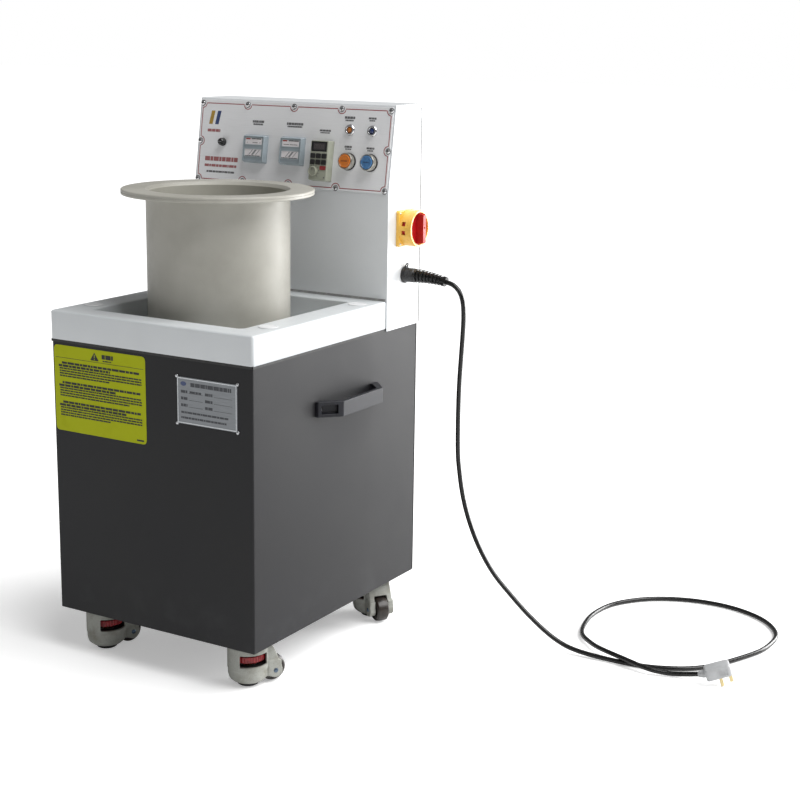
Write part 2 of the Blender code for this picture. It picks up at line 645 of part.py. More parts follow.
def fuse_holder(face):
    """Panel fuse holder with a round black cap."""
    seat = PANEL_T + 2 * GAP
    profile = [(FUSE_BODY_R, -FUSE_DEPTH), (FUSE_BODY_R, seat), (FUSE_R, seat),
               (FUSE_R, seat + FUSE_PROUD - 0.003), (FUSE_R - 0.003, seat + FUSE_PROUD)]
    fuse = add_object("fuse_holder", turned(profile, 24), ((0.02, 0.02, 0.02), 0.35), face,
                      smooth=True)
    fuse.location = (*FUSE_UV, 0)


# ---- isolator and mains lead -----------------------------------------------------------------
def isolator(machine):
    """Rotary mains isolator: yellow plate with a shroud, and a red dial with a grip bar."""
    side = add_empty("isolator_axis", (CONSOLE_HALF, SIDE_Y, ISOLATOR_Z), (pi / 2, 0, pi / 2),
                     machine)
    low, face = GAP, GAP + ISOLATOR_PLATE_T
    loops = [rounded_rect(ISOLATOR_SIZE, ISOLATOR_SIZE, 0.005, z) for z in (low, face)]
    plate = add_object("isolator_plate", loft(bmesh.new(), loops), ((0.80, 0.58, 0.05), 0.4), side)
    inner = SHROUD_R - SHROUD_WALL
    ring = turned_ring([(SHROUD_R, face - 0.002), (SHROUD_R, SHROUD_H), (inner, SHROUD_H),
                        (inner, face - 0.002)], 36)
    cut(plate, ring, "UNION", "shroud")
    cut(plate, cylinder(DIAL_SHAFT_R + RUN, -0.01, 0.02, 28), name="shaft_hole")
    for angle in SHROUD_SLOTS:
        tool = add_box(bmesh.new(), (inner - 0.002, -SHROUD_SLOT / 2, SHROUD_SLOT_Z - SHROUD_SLOT / 2),
                       (SHROUD_R + 0.002, SHROUD_SLOT / 2, SHROUD_SLOT_Z + SHROUD_SLOT / 2))
        bmesh.ops.transform(tool, verts=tool.verts, matrix=Matrix.Rotation(radians(angle), 4, "Z"))
        cut(plate, tool, name=f"slot_{angle}")

    radius = inner - DIAL_CLEAR
    dial_low = face + DIAL_LIFT
    dial_top = SHROUD_H - DIAL_RECESS
    shaft = [(DIAL_SHAFT_R, 0.002), (DIAL_SHAFT_R, dial_low), (radius, dial_low),
             (radius, dial_top - 0.001), (radius - 0.001, dial_top)]
    dial = add_object("isolator_knob", turned(shaft, 36), ((0.65, 0.02, 0.02), 0.35), side,
                      smooth=True)
    grip = loft(bmesh.new(), [rounded_rect(GRIP_W, GRIP_L, 0.004, dial_top - 0.002),
                              rounded_rect(GRIP_W, GRIP_L, 0.004, ISOLATOR_DEPTH)])
    cut(dial, grip, "UNION", "grip")

    depth, wide, tall = SWITCH_BLOCK
    back = -SHEET - GAP
    block = add_box(bmesh.new(), (-wide / 2, -tall / 2, back - depth), (wide / 2, tall / 2, back))
    add_object("isolator_switch_block", block, ((0.06, 0.06, 0.06), 0.5), side)


def smooth_route(points, turn, reach):
    """A smooth curve through the points, read where it has turned or gone far enough."""
    stations = [Vector(p) for p in points]
    ends = [2 * stations[0] - stations[1], *stations, 2 * stations[-1] - stations[-2]]
    fine = []
    for a, b, c, d in zip(ends, ends[1:], ends[2:], ends[3:]):
        steps = max(2, round((c - b).length / 0.002))
        for i in range(steps):
            t = i / steps
            fine.append(0.5 * ((2 * b) + (c - a) * t + (2 * a - 5 * b + 4 * c - d) * t ** 2
                               + (3 * b - a - 3 * c + d) * t ** 3))
    picked, heading = [fine[0]], fine[1] - fine[0]
    for p, q in zip(fine, fine[1:]):
        if (q - p).angle(heading) > turn or (p - picked[-1]).length > reach:
            picked.append(p)
            heading = q - p
    return picked + [stations[-1]]


def gland(machine):
    """Cable gland on the console's side."""
    profile = [(GLAND_FLANGE_R, GAP), (GLAND_FLANGE_R, GLAND_FLANGE_T), (GLAND_R, GLAND_FLANGE_T),
               (GLAND_R, GLAND_L - 0.002), (GLAND_R - 0.0015, GLAND_L)]
    made = add_object("cable_gland", turned(profile, 28), ((0.03, 0.03, 0.03), 0.5), machine,
                      smooth=True)
    made.location = (CONSOLE_HALF, SIDE_Y, GLAND_Z)
    made.rotation_euler = (0, pi / 2, 0)


def strain_relief(machine):
    """Bend protector: a tapering sleeve that droops with the cord's weight."""
    first, second = smooth_route(CORD_ROUTE, CORD_TURN, CORD_REACH)[:2]
    leave = (second - first).normalized()
    start = Vector((CONSOLE_HALF + GLAND_L + GAP, SIDE_Y, GLAND_Z))
    end = first - leave * GAP
    reach = (end - start).length
    knee = start + Vector((reach / 2, 0, 0))
    count = 6
    loops = []
    for i in range(count + 1):
        t = i / count
        place = (1 - t) ** 2 * start + 2 * t * (1 - t) * knee + t ** 2 * end
        heading = Vector((1, 0, 0)).lerp(leave, t).normalized()
        turn = heading.to_track_quat("Z", "Y").to_matrix()
        radius = RELIEF_R[0] + t * (RELIEF_R[1] - RELIEF_R[0])
        loops.append([place + turn @ Vector(p) for p in circle(radius, 0, 24)])
    add_object("strain_relief", loft(bmesh.new(), loops), ((0.02, 0.02, 0.02), 0.55), machine,
               smooth=True)


def mains_cord(machine):
    """The free lead, drawn as a round tube along its route."""
    curve = bpy.data.curves.new("mains_cord", "CURVE")
    curve.dimensions = "3D"
    curve.bevel_depth = CORD_R
    curve.bevel_resolution = 2
    curve.use_fill_caps = True
    points = smooth_route(CORD_ROUTE, CORD_TURN, CORD_REACH)
    spline = curve.splines.new("POLY")
    spline.points.add(len(points) - 1)
    for slot, place in zip(spline.points, points):
        slot.co = (*place, 1.0)
    cord = bpy.data.objects.new("mains_cord", curve)
    curve.materials.append(material("mains_cord", (0.02, 0.02, 0.02), 0.45))
    cord.parent = machine
    bpy.context.collection.objects.link(cord)


def plug(machine):
    """Moulded plug: X along the cord, pins down; it stands on its pins, propped by the cord."""
    turn = Euler([radians(a) for a in PLUG_TURN])
    frame = add_empty("plug_frame", PLUG_PLACE, turn, machine)
    l, d, t = PLUG_L / 2, PLUG_D / 2, PLUG_T / 2
    loops = [rounded_rect(PLUG_L, PLUG_D, 0.006, -t), rounded_rect(PLUG_L, PLUG_D, 0.006, t - 0.003),
             rounded_rect(PLUG_L - 0.005, PLUG_D - 0.005, 0.004, t)]
    add_object("plug_body", loft(bmesh.new(), loops), ((0.80, 0.80, 0.79), 0.4), frame)
    for name, (x, y, angle) in PINS.items():
        blade = add_box(bmesh.new(), (-PIN_W / 2, -PIN_T / 2, -PIN_L), (PIN_W / 2, PIN_T / 2, 0))
        pin = add_object(f"plug_pin_{name}", blade, ((0.60, 0.52, 0.30), 0.3, 1.0), frame)
        pin.location = (x, y, -t - GAP)
        pin.rotation_euler = (0, 0, radians(angle))


# ---- handles ---------------------------------------------------------------------------------
def handles(machine):
    """Fixed bridge handles on both sides of the cabinet."""
    foot, bar = HANDLE_LENGTH / 2, HANDLE_BAR / 2
    depth, inside = HANDLE_DEPTH, HANDLE_DEPTH - HANDLE_BAR_T
    wall = BODY_W / 2 - CABINET_INSET
    edge = foot - HANDLE_FOOT
    inner_bar = bar - 0.011
    outline = [(GAP, -foot), (0.007, -foot), (depth - 0.003, -bar - 0.002), (depth, -bar + 0.002),
               (depth, bar - 0.002), (depth - 0.003, bar + 0.002), (0.007, foot), (GAP, foot),
               (GAP, edge), (0.006, edge), (inside, inner_bar), (inside, -inner_bar),
               (0.006, -edge), (GAP, -edge)]
    for side, sx in (("right", 1), ("left", -1)):
        shape = prism([(sx * x, y) for x, y in outline], -HANDLE_H / 2, HANDLE_H / 2)
        grip = add_object(f"handle_{side}", shape, ((0.05, 0.05, 0.055), 0.4), machine)
        grip.location = (sx * wall, HANDLE_Y, HANDLE_Z)


# ---- casters ---------------------------------------------------------------------------------
def caster_housing(name, swivel):
    """Cast housing: a round body over the pad, side windows, and a fork for the wheel."""
    axle_z = WHEEL_R + WHEEL_LIFT
    body = cylinder(HOUSING_R, RING_Z, HOUSING_TOP, 32)
    housing = add_object(f"{name}_housing", body, ((0.62, 0.62, 0.57), 0.6), swivel, smooth=True)
    arc = [(AXLE_OUT + AXLE_LOBE * cos(a), axle_z + AXLE_LOBE * sin(a))
           for a in (radians(d) for d in (30, 0, -30, -60, -90, -120))]
    cheek = [(0.004, HOUSING_TOP - 0.004), (0.036, HOUSING_TOP - 0.004), (0.046, 0.058), *arc,
             (0.024, RING_Z + 0.004), (0.004, RING_Z + 0.004)]
    cut(housing, prism(list(reversed(cheek)), -FORK_W / 2, FORK_W / 2, "XZ"), "UNION", "fork")
    low, high = WINDOW_Z
    wide = HOUSING_R - HOUSING_WALL
    cut(housing, cylinder(wide, low, high + 0.001, 32), name="thumb_cavity")
    cut(housing, cylinder(PAD_CAVITY_R, -0.01, low + 0.002, 28), name="pad_cavity")
    cut(housing, add_box(bmesh.new(), (-WINDOW_HALF, -0.06, low), (WINDOW_HALF, 0.06, high)),
        name="windows")
    slot = [(AXLE_OUT - WHEEL_R - 0.0024, -0.01), (0.09, -0.01), (0.09, WHEEL_R * 2 + 0.003),
            (AXLE_OUT - WHEEL_R * 0.5, WHEEL_R * 2 + 0.003),
            (AXLE_OUT - WHEEL_R - 0.0024, axle_z + WHEEL_R * 0.45)]
    cut(housing, prism(list(reversed(slot)), -FORK_SLOT / 2, FORK_SLOT / 2, "XZ"), name="slot")
    axle = loft(bmesh.new(), [[(AXLE_OUT + AXLE_R * cos(a), y, axle_z + AXLE_R * sin(a))
                               for a in (i * pi / 8 for i in range(16))]
                              for y in (-FORK_W / 2 + 0.002, FORK_W / 2 - 0.002)])
    cut(housing, axle, "UNION", "axle")
    cut(housing, cylinder(STEM_R + 0.001, high - 0.01, HOUSING_TOP + 0.01, 20), name="stem_bore")


def casters(machine):
    """Four levelling casters: housing, wheel, thumb wheel, and a pad on a screwed stem."""
    for place, (x, y) in caster_places():
        name = f"caster_{place}"
        swivel = add_empty(f"{name}_swivel", (x, y, 0), (0, 0, radians(CASTER_TURN[place])), machine)
        caster_housing(name, swivel)

        axle = add_empty(f"{name}_axle", (AXLE_OUT, 0, WHEEL_R + WHEEL_LIFT), (pi / 2, 0, 0), swivel)
        half, edge = WHEEL_W / 2, 0.004
        bore = AXLE_R + RUN
        profile = [(bore, -half), (WHEEL_R - edge, -half), (WHEEL_R, -half + edge),
                   (WHEEL_R, half - edge), (WHEEL_R - edge, half), (bore, half)]
        add_object(f"{name}_wheel", turned_ring(profile, 28), ((0.04, 0.04, 0.045), 0.5), axle,
                   smooth=True)

        screw = add_empty(f"{name}_screw", (0, 0, 0), parent=swivel)
        low, high = THUMB_Z
        profile = [(STEM_R + RUN, low), (THUMB_R, low), (THUMB_R, high), (STEM_R + RUN, high)]
        add_object(f"{name}_thumbwheel", turned_ring(profile, 28), ((0.55, 0.03, 0.05), 0.4), screw,
                   smooth=True)
        profile = [(PAD_R, 0), (PAD_R, PAD_T - 0.002), (PAD_R - 0.002, PAD_T), (STEM_R, PAD_T),
                   (STEM_R, STEM_TOP)]
        add_object(f"{name}_pad", turned(profile, 24), ((0.03, 0.03, 0.03), 0.7), screw,
                   smooth=True)


def build():
    """Clear the scene and put the machine together from the floor up."""
    for old in list(bpy.data.objects):
        bpy.data.objects.remove(old, do_unlink=True)
    machine = add_empty("machine", (-MIDDLE_X, 0, 0))
    casters(machine)
    base_plate(machine)
    cabinet_shell(machine)
    rear_panel(machine)
    handles(machine)
    top_tray(machine)
    rim_caps(machine)
    tub(machine)
    drive(machine)
    console_shell(machine)
    console_rear_cover(machine)
    face = panel_frame(machine)
    control_panel(face)
    timers(face)
    inverter(face)
    lamps(face)
    buttons(face)
    fuse_holder(face)
    isolator(machine)
    gland(machine)
    strain_relief(machine)
    mains_cord(machine)
    plug(machine)


build()
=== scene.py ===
"""Magnetic polishing machine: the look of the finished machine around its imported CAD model.

A light tray on a charcoal cabinet holds a lift-out plastic tub over a spinning magnet disc. The
console behind it carries the timers, the speed controller and the switches. The machine stands on
levelling casters, and its mains lead lies in one loose loop on the floor.
"""
import random
from math import atan2, cos, hypot, pi, radians, sin, tan

import bmesh
import bpy
from mathutils import Euler, Matrix, Vector


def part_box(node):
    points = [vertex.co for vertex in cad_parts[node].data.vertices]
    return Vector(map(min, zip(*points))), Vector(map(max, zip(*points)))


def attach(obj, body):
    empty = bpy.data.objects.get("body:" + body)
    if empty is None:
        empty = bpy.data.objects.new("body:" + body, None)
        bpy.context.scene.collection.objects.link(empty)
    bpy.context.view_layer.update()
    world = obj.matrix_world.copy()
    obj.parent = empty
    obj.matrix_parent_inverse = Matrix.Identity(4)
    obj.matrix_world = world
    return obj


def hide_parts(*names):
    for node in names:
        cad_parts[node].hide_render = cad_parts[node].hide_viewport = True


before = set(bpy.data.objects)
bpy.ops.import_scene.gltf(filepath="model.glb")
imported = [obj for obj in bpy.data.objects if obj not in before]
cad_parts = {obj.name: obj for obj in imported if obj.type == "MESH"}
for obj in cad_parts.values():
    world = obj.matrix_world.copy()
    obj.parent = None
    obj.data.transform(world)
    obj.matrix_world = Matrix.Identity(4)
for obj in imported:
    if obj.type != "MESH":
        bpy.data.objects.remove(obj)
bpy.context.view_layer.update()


# ---- room: floor, lights and camera ------------------------------------------------------------
# A pale studio floor, which glows a little for the camera only, runs out to a white surround. A
# broad low sun comes from the right and a soft window stands at the right rear, so right-hand
# faces are bright and the front lies in soft shade.
class Wire:
    """An output socket that Python's arithmetic works on, by adding Math nodes."""

    def __init__(self, socket):
        self.socket = socket

    def math(self, operation, *values):
        node = self.socket.id_data.nodes.new("ShaderNodeMath")
        node.operation = operation
        for slot, value in zip(node.inputs, values):
            plug_in(slot, value)
        return Wire(node.outputs[0])

    def __add__(self, other):
        return self.math("ADD", self, other)

    def __sub__(self, other):
        return self.math("SUBTRACT", self, other)

    def __rsub__(self, other):
        return self.math("SUBTRACT", other, self)

    def __mul__(self, other):
        return self.math("MULTIPLY", self, other)

    def __pow__(self, other):
        return self.math("POWER", self, other)

    __radd__, __rmul__ = __add__, __mul__


def plug_in(slot, value):
    """Link a wire to a socket, or set the socket's own value."""
    if isinstance(value, Wire):
        slot.id_data.links.new(value.socket, slot)
    elif hasattr(slot.default_value, "__len__") and len(slot.default_value) == 4:
        slot.default_value = (*value[:3], 1.0)
    else:
        slot.default_value = value


class Finish:
    """A Principled material; `node` adds any other node to it."""

    def __init__(self, name, **sockets):
        self.material = bpy.data.materials.new(name)
        self.material.use_nodes = True
        self.tree = self.material.node_tree
        self.shader = self.tree.nodes["Principled BSDF"]
        self.place = self.node("ShaderNodeTexCoord", output="Object")
        self.surface(**sockets)

    def node(self, kind, settings=None, output=0, **sockets):
        made = self.tree.nodes.new(kind)
        for key, value in (settings or {}).items():
            setattr(made, key, value)
        for key, value in sockets.items():
            name = key.replace("_", " ")
            slots = [s for s in made.inputs if s.enabled and name in (s.name, s.identifier)]
            plug_in(slots[0], value)
        if isinstance(output, str):
            return Wire(next(s for s in made.outputs if s.enabled and s.name == output))
        return Wire([s for s in made.outputs if s.enabled][output])

    def surface(self, **sockets):
        """Set or link the shader's own sockets."""
        for key, value in sockets.items():
            plug_in(self.shader.inputs[key.replace("_", " ")], value)
        return self

    def noise(self, scale, detail=2.0, roughness=0.5, where=None):
        """A value near one half that wanders, `scale` times a metre."""
        return self.node("ShaderNodeTexNoise", Vector=where or self.place, Scale=scale,
                         Detail=detail, Roughness=roughness)

    def stretched(self, scale):
        """Object coordinates scaled differently along each axis."""
        return self.node("ShaderNodeMapping", Vector=self.place, Scale=scale)

    def remap(self, value, low, high, to_low=0.0, to_high=1.0):
        """Read a value between two stops."""
        return self.node("ShaderNodeMapRange", Value=value, From_Min=low, From_Max=high,
                         To_Min=to_low, To_Max=to_high)

    def mix(self, factor, first, second):
        """Blend two colours."""
        mixed = self.tree.nodes.new("ShaderNodeMix")
        mixed.data_type = "RGBA"
        for slot, value in zip((mixed.inputs[0], mixed.inputs[6], mixed.inputs[7]),
                               (factor, first, second)):
            plug_in(slot, value)
        return Wire(mixed.outputs[2])

    def bump(self, height, depth, strength=1.0):
        """Feed the shader's normal from a height in metres times depth."""
        normal = self.node("ShaderNodeBump", Height=height, Distance=depth, Strength=strength)
        return self.surface(Normal=normal)


SURROUND = 0.19


def stage_room():
    """Floor, surround and soft lights."""
    paint = Finish("studio_floor", Base_Color=(0.90, 0.90, 0.90), Roughness=0.6)
    shade = paint.remap(paint.noise(1.3), 0.3, 0.7, 0.885, 0.905)
    paint.surface(Base_Color=paint.node("ShaderNodeCombineColor", Red=shade, Green=shade,
                                        Blue=shade),
                  Emission_Strength=0.36)
    glow = paint.node("ShaderNodeLightPath", output="Is Camera Ray")
    paint.surface(Emission_Color=paint.node("ShaderNodeCombineColor", Red=glow, Green=glow,
                                            Blue=glow))
    bpy.ops.mesh.primitive_plane_add(size=60, location=(0, 0, -0.0004))
    floor = bpy.context.object
    floor.name = "studio_floor"
    floor.data.materials.append(paint.material)

    world = bpy.data.worlds.new("studio")
    world.use_nodes = True
    tree = world.node_tree
    surround = tree.nodes["Background"]
    surround.inputs["Color"].default_value = (1, 1, 1, 1)
    seen = tree.nodes.new("ShaderNodeLightPath").outputs["Is Camera Ray"]
    plug_in(surround.inputs["Strength"], Wire(seen) * (1.0 - SURROUND) + SURROUND)
    bpy.context.scene.world = world

    def add_light(name, kind, power, place, target, **settings):
        light = bpy.data.lights.new(name, kind)
        light.energy = power
        for key, value in settings.items():
            setattr(light, key, value)
        lamp = bpy.data.objects.new(name, light)
        lamp.location = place
        lamp.rotation_euler = (Vector(target) - Vector(place)).to_track_quat("-Z", "Y").to_euler()
        bpy.context.collection.objects.link(lamp)

    add_light("key", "SUN", 3.5, (0.60, 0.06, 0.95), (0, 0, 0), angle=radians(50))
    add_light("right_window", "AREA", 105, (1.9, 2.6, 1.0), (0.1, 0.0, 0.5), shape="RECTANGLE",
              size=1.6, size_y=1.6)

    bpy.context.scene.view_settings.view_transform = "Standard"


def add_camera():
    """Stand-point in front and to the right, a little above the panel, with a long lens."""
    yaw, pitch, roll = radians(30.593), radians(13.061), radians(0.843)
    ahead = Vector((-sin(yaw) * cos(pitch), cos(yaw) * cos(pitch), -sin(pitch)))
    level = Vector((cos(yaw), sin(yaw), 0))
    upright = level.cross(ahead)
    across = cos(roll) * level + sin(roll) * upright
    up = cos(roll) * upright - sin(roll) * level
    lens = bpy.data.cameras.new("camera")
    lens.lens = 72.296
    camera = bpy.data.objects.new("camera", lens)
    turn = Matrix((across, up, -ahead)).transposed().to_4x4()
    camera.matrix_world = Matrix.Translation((1.77362, -2.41508, 1.15822)) @ turn
    bpy.context.collection.objects.link(camera)
    bpy.context.scene.camera = camera


stage_room()
add_camera()


# ---- mains cord --------------------------------------------------------------------------------
# Three-core rubber flex, 9 mm thick. It leaves the bend protector on the console's right side,
# hangs to the floor, makes one loose loop there and crosses over itself on the way to the plug.
MACHINE_SHIFT = 0.0039      # from the cabinet's middle to the middle of the whole machine
CORD_THICKNESS = 0.009
CORD_ROUTE = [
    (0.3180, 0.2185, 0.6900), (0.3330, 0.2185, 0.6860), (0.3460, 0.2185, 0.6755),
    (0.3540, 0.2185, 0.6580), (0.3570, 0.2185, 0.6300), (0.3560, 0.2187, 0.5900),
    (0.3505, 0.2192, 0.4850), (0.3505, 0.2198, 0.3750), (0.3550, 0.2200, 0.3250),
    (0.3640, 0.2205, 0.2750), (0.3790, 0.2210, 0.2270), (0.4020, 0.2215, 0.1780),
    (0.4330, 0.2220, 0.1330), (0.4720, 0.2228, 0.0950), (0.5170, 0.2240, 0.0570),
    (0.5680, 0.2255, 0.0240), (0.6177, 0.2275, 0.0090), (0.7046, 0.2316, 0.0047),
    (0.7760, 0.2455, 0.0047), (0.8430, 0.2925, 0.0047), (0.8960, 0.3980, 0.0047),
    (0.9110, 0.4650, 0.0047), (0.9030, 0.5330, 0.0047), (0.8560, 0.5930, 0.0047),
    (0.7800, 0.6260, 0.0047), (0.6960, 0.6230, 0.0047), (0.6190, 0.5850, 0.0047),
    (0.5680, 0.5180, 0.0047), (0.5540, 0.4420, 0.0047), (0.5640, 0.3700, 0.0050),
    (0.5840, 0.3180, 0.0066), (0.6161, 0.2825, 0.0090), (0.6485, 0.2570, 0.0117),
    (0.7052, 0.2280, 0.0149), (0.7550, 0.2155, 0.0115), (0.7784, 0.2190, 0.0080),
    (0.8030, 0.2275, 0.0058), (0.8235, 0.2315, 0.0078), (0.8455, 0.2278, 0.0140),
    (0.8671, 0.2224, 0.0214),
]


def smooth_line(points, step):
    """Points on a smooth curve through the given ones, about a step apart."""
    stations = [Vector(p) for p in points]
    ends = [2 * stations[0] - stations[1], *stations, 2 * stations[-1] - stations[-2]]
    line = []
    for a, b, c, d in zip(ends, ends[1:], ends[2:], ends[3:]):
        count = max(1, round((c - b).length / step))
        for i in range(count):
            t = i / count
            line.append(0.5 * ((2 * b) + (c - a) * t + (2 * a - 5 * b + 4 * c - d) * t ** 2
                               + (3 * b - a - 3 * c + d) * t ** 3))
    return line + [stations[-1]]


def rubber(name, shade, roughness):
    """Black rubber or soft plastic with a faint moulded grain and dull dust."""
    finish = Finish(name, Specular_IOR_Level=0.5)
    dust = finish.remap(finish.noise(90, 3), 0.45, 0.75)
    base = finish.mix(dust, (shade, shade, shade), (shade * 1.6, shade * 1.6, shade * 1.55))
    worn = finish.remap(finish.noise(240), 0.3, 0.7, roughness - 0.06, roughness + 0.1)
    finish.surface(Base_Color=base, Roughness=worn)
    return finish.bump(finish.noise(2600, 1), 0.00012, 0.35)


def free_cord():
    """The cord's curve; its plug is a group of CAD nodes."""
    line = smooth_line([(x - MACHINE_SHIFT, y, z) for x, y, z in CORD_ROUTE], 0.008)
    curve = bpy.data.curves.new("mains_cord_sheath", "CURVE")
    curve.dimensions = "3D"
    curve.bevel_depth = CORD_THICKNESS / 2
    curve.bevel_resolution = 6
    curve.use_fill_caps = True
    spline = curve.splines.new("POLY")
    spline.points.add(len(line) - 1)
    for slot, place in zip(spline.points, line):
        slot.co = (*place, 1.0)
    spline.use_smooth = True
    cord = bpy.data.objects.new("mains_cord_sheath", curve)
    bpy.context.collection.objects.link(cord)
    curve.materials.append(rubber("cord_rubber", 0.005, 0.27).material)
    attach(cord, "frame")
    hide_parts("mains_cord")
    length = sum((b - a).length for a, b in zip(line, line[1:]))
    return cord, length


mains_cord, cord_length = free_cord()


# ---- casters -----------------------------------------------------------------------------------
# Four levelling casters: a painted die-cast housing with two side windows over a ribbed red nylon
# wheel, which screws a rubber foot down, and a fork at the side with a crowned nylon roller in it.
CASTER_CENTRES = {"front_left": (-0.166, -0.214, 68), "front_right": (0.166, -0.214, 57),
                  "rear_left": (-0.166, 0.206, 140), "rear_right": (0.166, 0.206, -35)}
AXLE_OUT, AXLE_UP = 0.044, 0.0255


def round_corners(points, radii, steps=4):
    """A closed outline in the plane with its corners rounded; one radius or one for each."""
    if not hasattr(radii, "__len__"):
        radii = [radii] * len(points)
    outline = []
    count = len(points)
    for i, radius in enumerate(radii):
        here = Vector(points[i])
        back = Vector(points[i - 1]) - here
        on = Vector(points[(i + 1) % count]) - here
        half = back.angle(on) / 2
        if radius <= 0 or half > pi / 2 - 0.01:
            outline.append(tuple(here))
            continue
        reach = min(radius / tan(half), back.length * 0.48, on.length * 0.48)
        first, last = here + back.normalized() * reach, here + on.normalized() * reach
        for k in range(steps + 1):
            t = k / steps
            outline.append(tuple((1 - t) ** 2 * first + 2 * t * (1 - t) * here + t ** 2 * last))
    return outline


def skin(shape, loops, close=False, caps=True):
    """Quads between loops of equal counts, with flat ends or joined end to start."""
    rings = [[shape.verts.new(p) for p in loop] for loop in loops]
    pairs = list(zip(rings, rings[1:])) + ([(rings[-1], rings[0])] if close else [])
    for lower, upper in pairs:
        for i, start in enumerate(lower):
            j = (i + 1) % len(lower)
            shape.faces.new((start, lower[j], upper[j], upper[i]))
    if caps and not close:
        shape.faces.new(list(reversed(rings[0])))
        shape.faces.new(rings[-1])
    return shape


def slab(outline, low, high, plane="XY", shape=None):
    """An outline made thick: XY along Z, YZ along X, or XZ along Y."""
    lay = {"XY": lambda a, b, c: (a, b, c), "YZ": lambda a, b, c: (c, a, b),
           "XZ": lambda a, b, c: (a, c, b)}[plane]
    return skin(shape or bmesh.new(), [[lay(a, b, c) for a, b in outline] for c in (low, high)])


def oblong(left, low, right, high):
    """A rectangle's corners, anticlockwise from the lower left."""
    return [(left, low), (right, low), (right, high), (left, high)]


def block(low, high, shape=None):
    """A plain block between two corners."""
    return slab(oblong(*low[:2], *high[:2]), low[2], high[2], shape=shape)


def join_in(shape, part, lay):
    """Move a loose bmesh by a matrix and add it to another."""
    bmesh.ops.transform(part, matrix=lay, verts=part.verts)
    copy = bpy.data.meshes.new("part")
    part.to_mesh(copy)
    shape.from_mesh(copy)
    part.free()
    bpy.data.meshes.remove(copy)


def ring(radius, z, segments, ripple=0.0, ribs=0):
    """A level ring of points, rippled for ribs round the edge."""
    turn = 2 * pi / segments
    return [((radius + ripple * cos(ribs * i * turn)) * cos(i * turn),
             (radius + ripple * cos(ribs * i * turn)) * sin(i * turn), z)
            for i in range(segments)]


def turn_solid(profile, segments, bore=False, shape=None):
    """Turn (radius, height) points about Z into a solid, or into a ring with a bore."""
    loops = [ring(r, z, segments) for r, z in profile]
    return skin(shape or bmesh.new(), loops, close=bore)


def soften(profile, radius, steps=3):
    """Round the inner corners of an open (radius, height) profile."""
    radii = [0] + [radius] * (len(profile) - 2) + [0]
    return round_corners(profile, radii, steps)


def finish_piece(piece, finish, body, replaces=()):
    """Give a piece its material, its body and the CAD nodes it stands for."""
    if finish is not None:
        piece.data.materials.clear()
        piece.data.materials.append(finish.material)
    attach(piece, body)
    if replaces:
        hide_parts(*replaces)
    return piece


def place_mesh(name, shape, at=None, sharp=32, tidy=True):
    """Make an object from a bmesh, set down by a matrix, with smooth faces and sharp edges."""
    if tidy:
        bmesh.ops.remove_doubles(shape, verts=shape.verts, dist=1e-6)
        bmesh.ops.recalc_face_normals(shape, faces=shape.faces)
    if at is not None:
        bmesh.ops.transform(shape, matrix=at, verts=shape.verts)
    mesh = bpy.data.meshes.new(name)
    shape.to_mesh(mesh)
    shape.free()
    mesh.shade_smooth()
    mesh.set_sharp_from_angle(angle=radians(sharp))
    made = bpy.data.objects.new(name, mesh)
    bpy.context.collection.objects.link(made)
    return made


def add_piece(name, shape, finish, slot, at=None, body="frame", stands_for=(), **look):
    """Make a piece from a bmesh and finish it."""
    return finish_piece(place_mesh(name, shape, at, **look), finish, body, stands_for)


def round_edges(piece, width, segments=2, angle=35):
    """A live bevel on a piece's sharp edges."""
    bevel = piece.modifiers.new("edges", "BEVEL")
    bevel.width = width
    bevel.segments = segments
    bevel.limit_method = "ANGLE"
    bevel.angle_limit = radians(angle)
    bevel.harden_normals = True
    return piece


def settle(piece):
    """Replace a piece's mesh with what its modifiers make of it."""
    ready = bpy.data.meshes.new_from_object(
        piece.evaluated_get(bpy.context.evaluated_depsgraph_get()))
    old = piece.data
    piece.modifiers.clear()
    piece.data = ready
    ready.name = piece.name
    bpy.data.meshes.remove(old)
    return piece


def carve(piece, tools, operation="DIFFERENCE"):
    """Boolean other bmeshes with a piece, one after the other, and throw them away."""
    for shape in tools:
        tool = place_mesh("tool", shape)
        step = piece.modifiers.new("carve", "BOOLEAN")
        step.operation = operation
        step.solver = "EXACT"
        step.object = tool
        settle(piece)
        bpy.data.objects.remove(tool)
    return piece


def set_smooth(piece, angle=32):
    """Smooth faces with sharp edges, after a Boolean."""
    piece.data.shade_smooth()
    piece.data.set_sharp_from_angle(angle=radians(angle))
    return piece


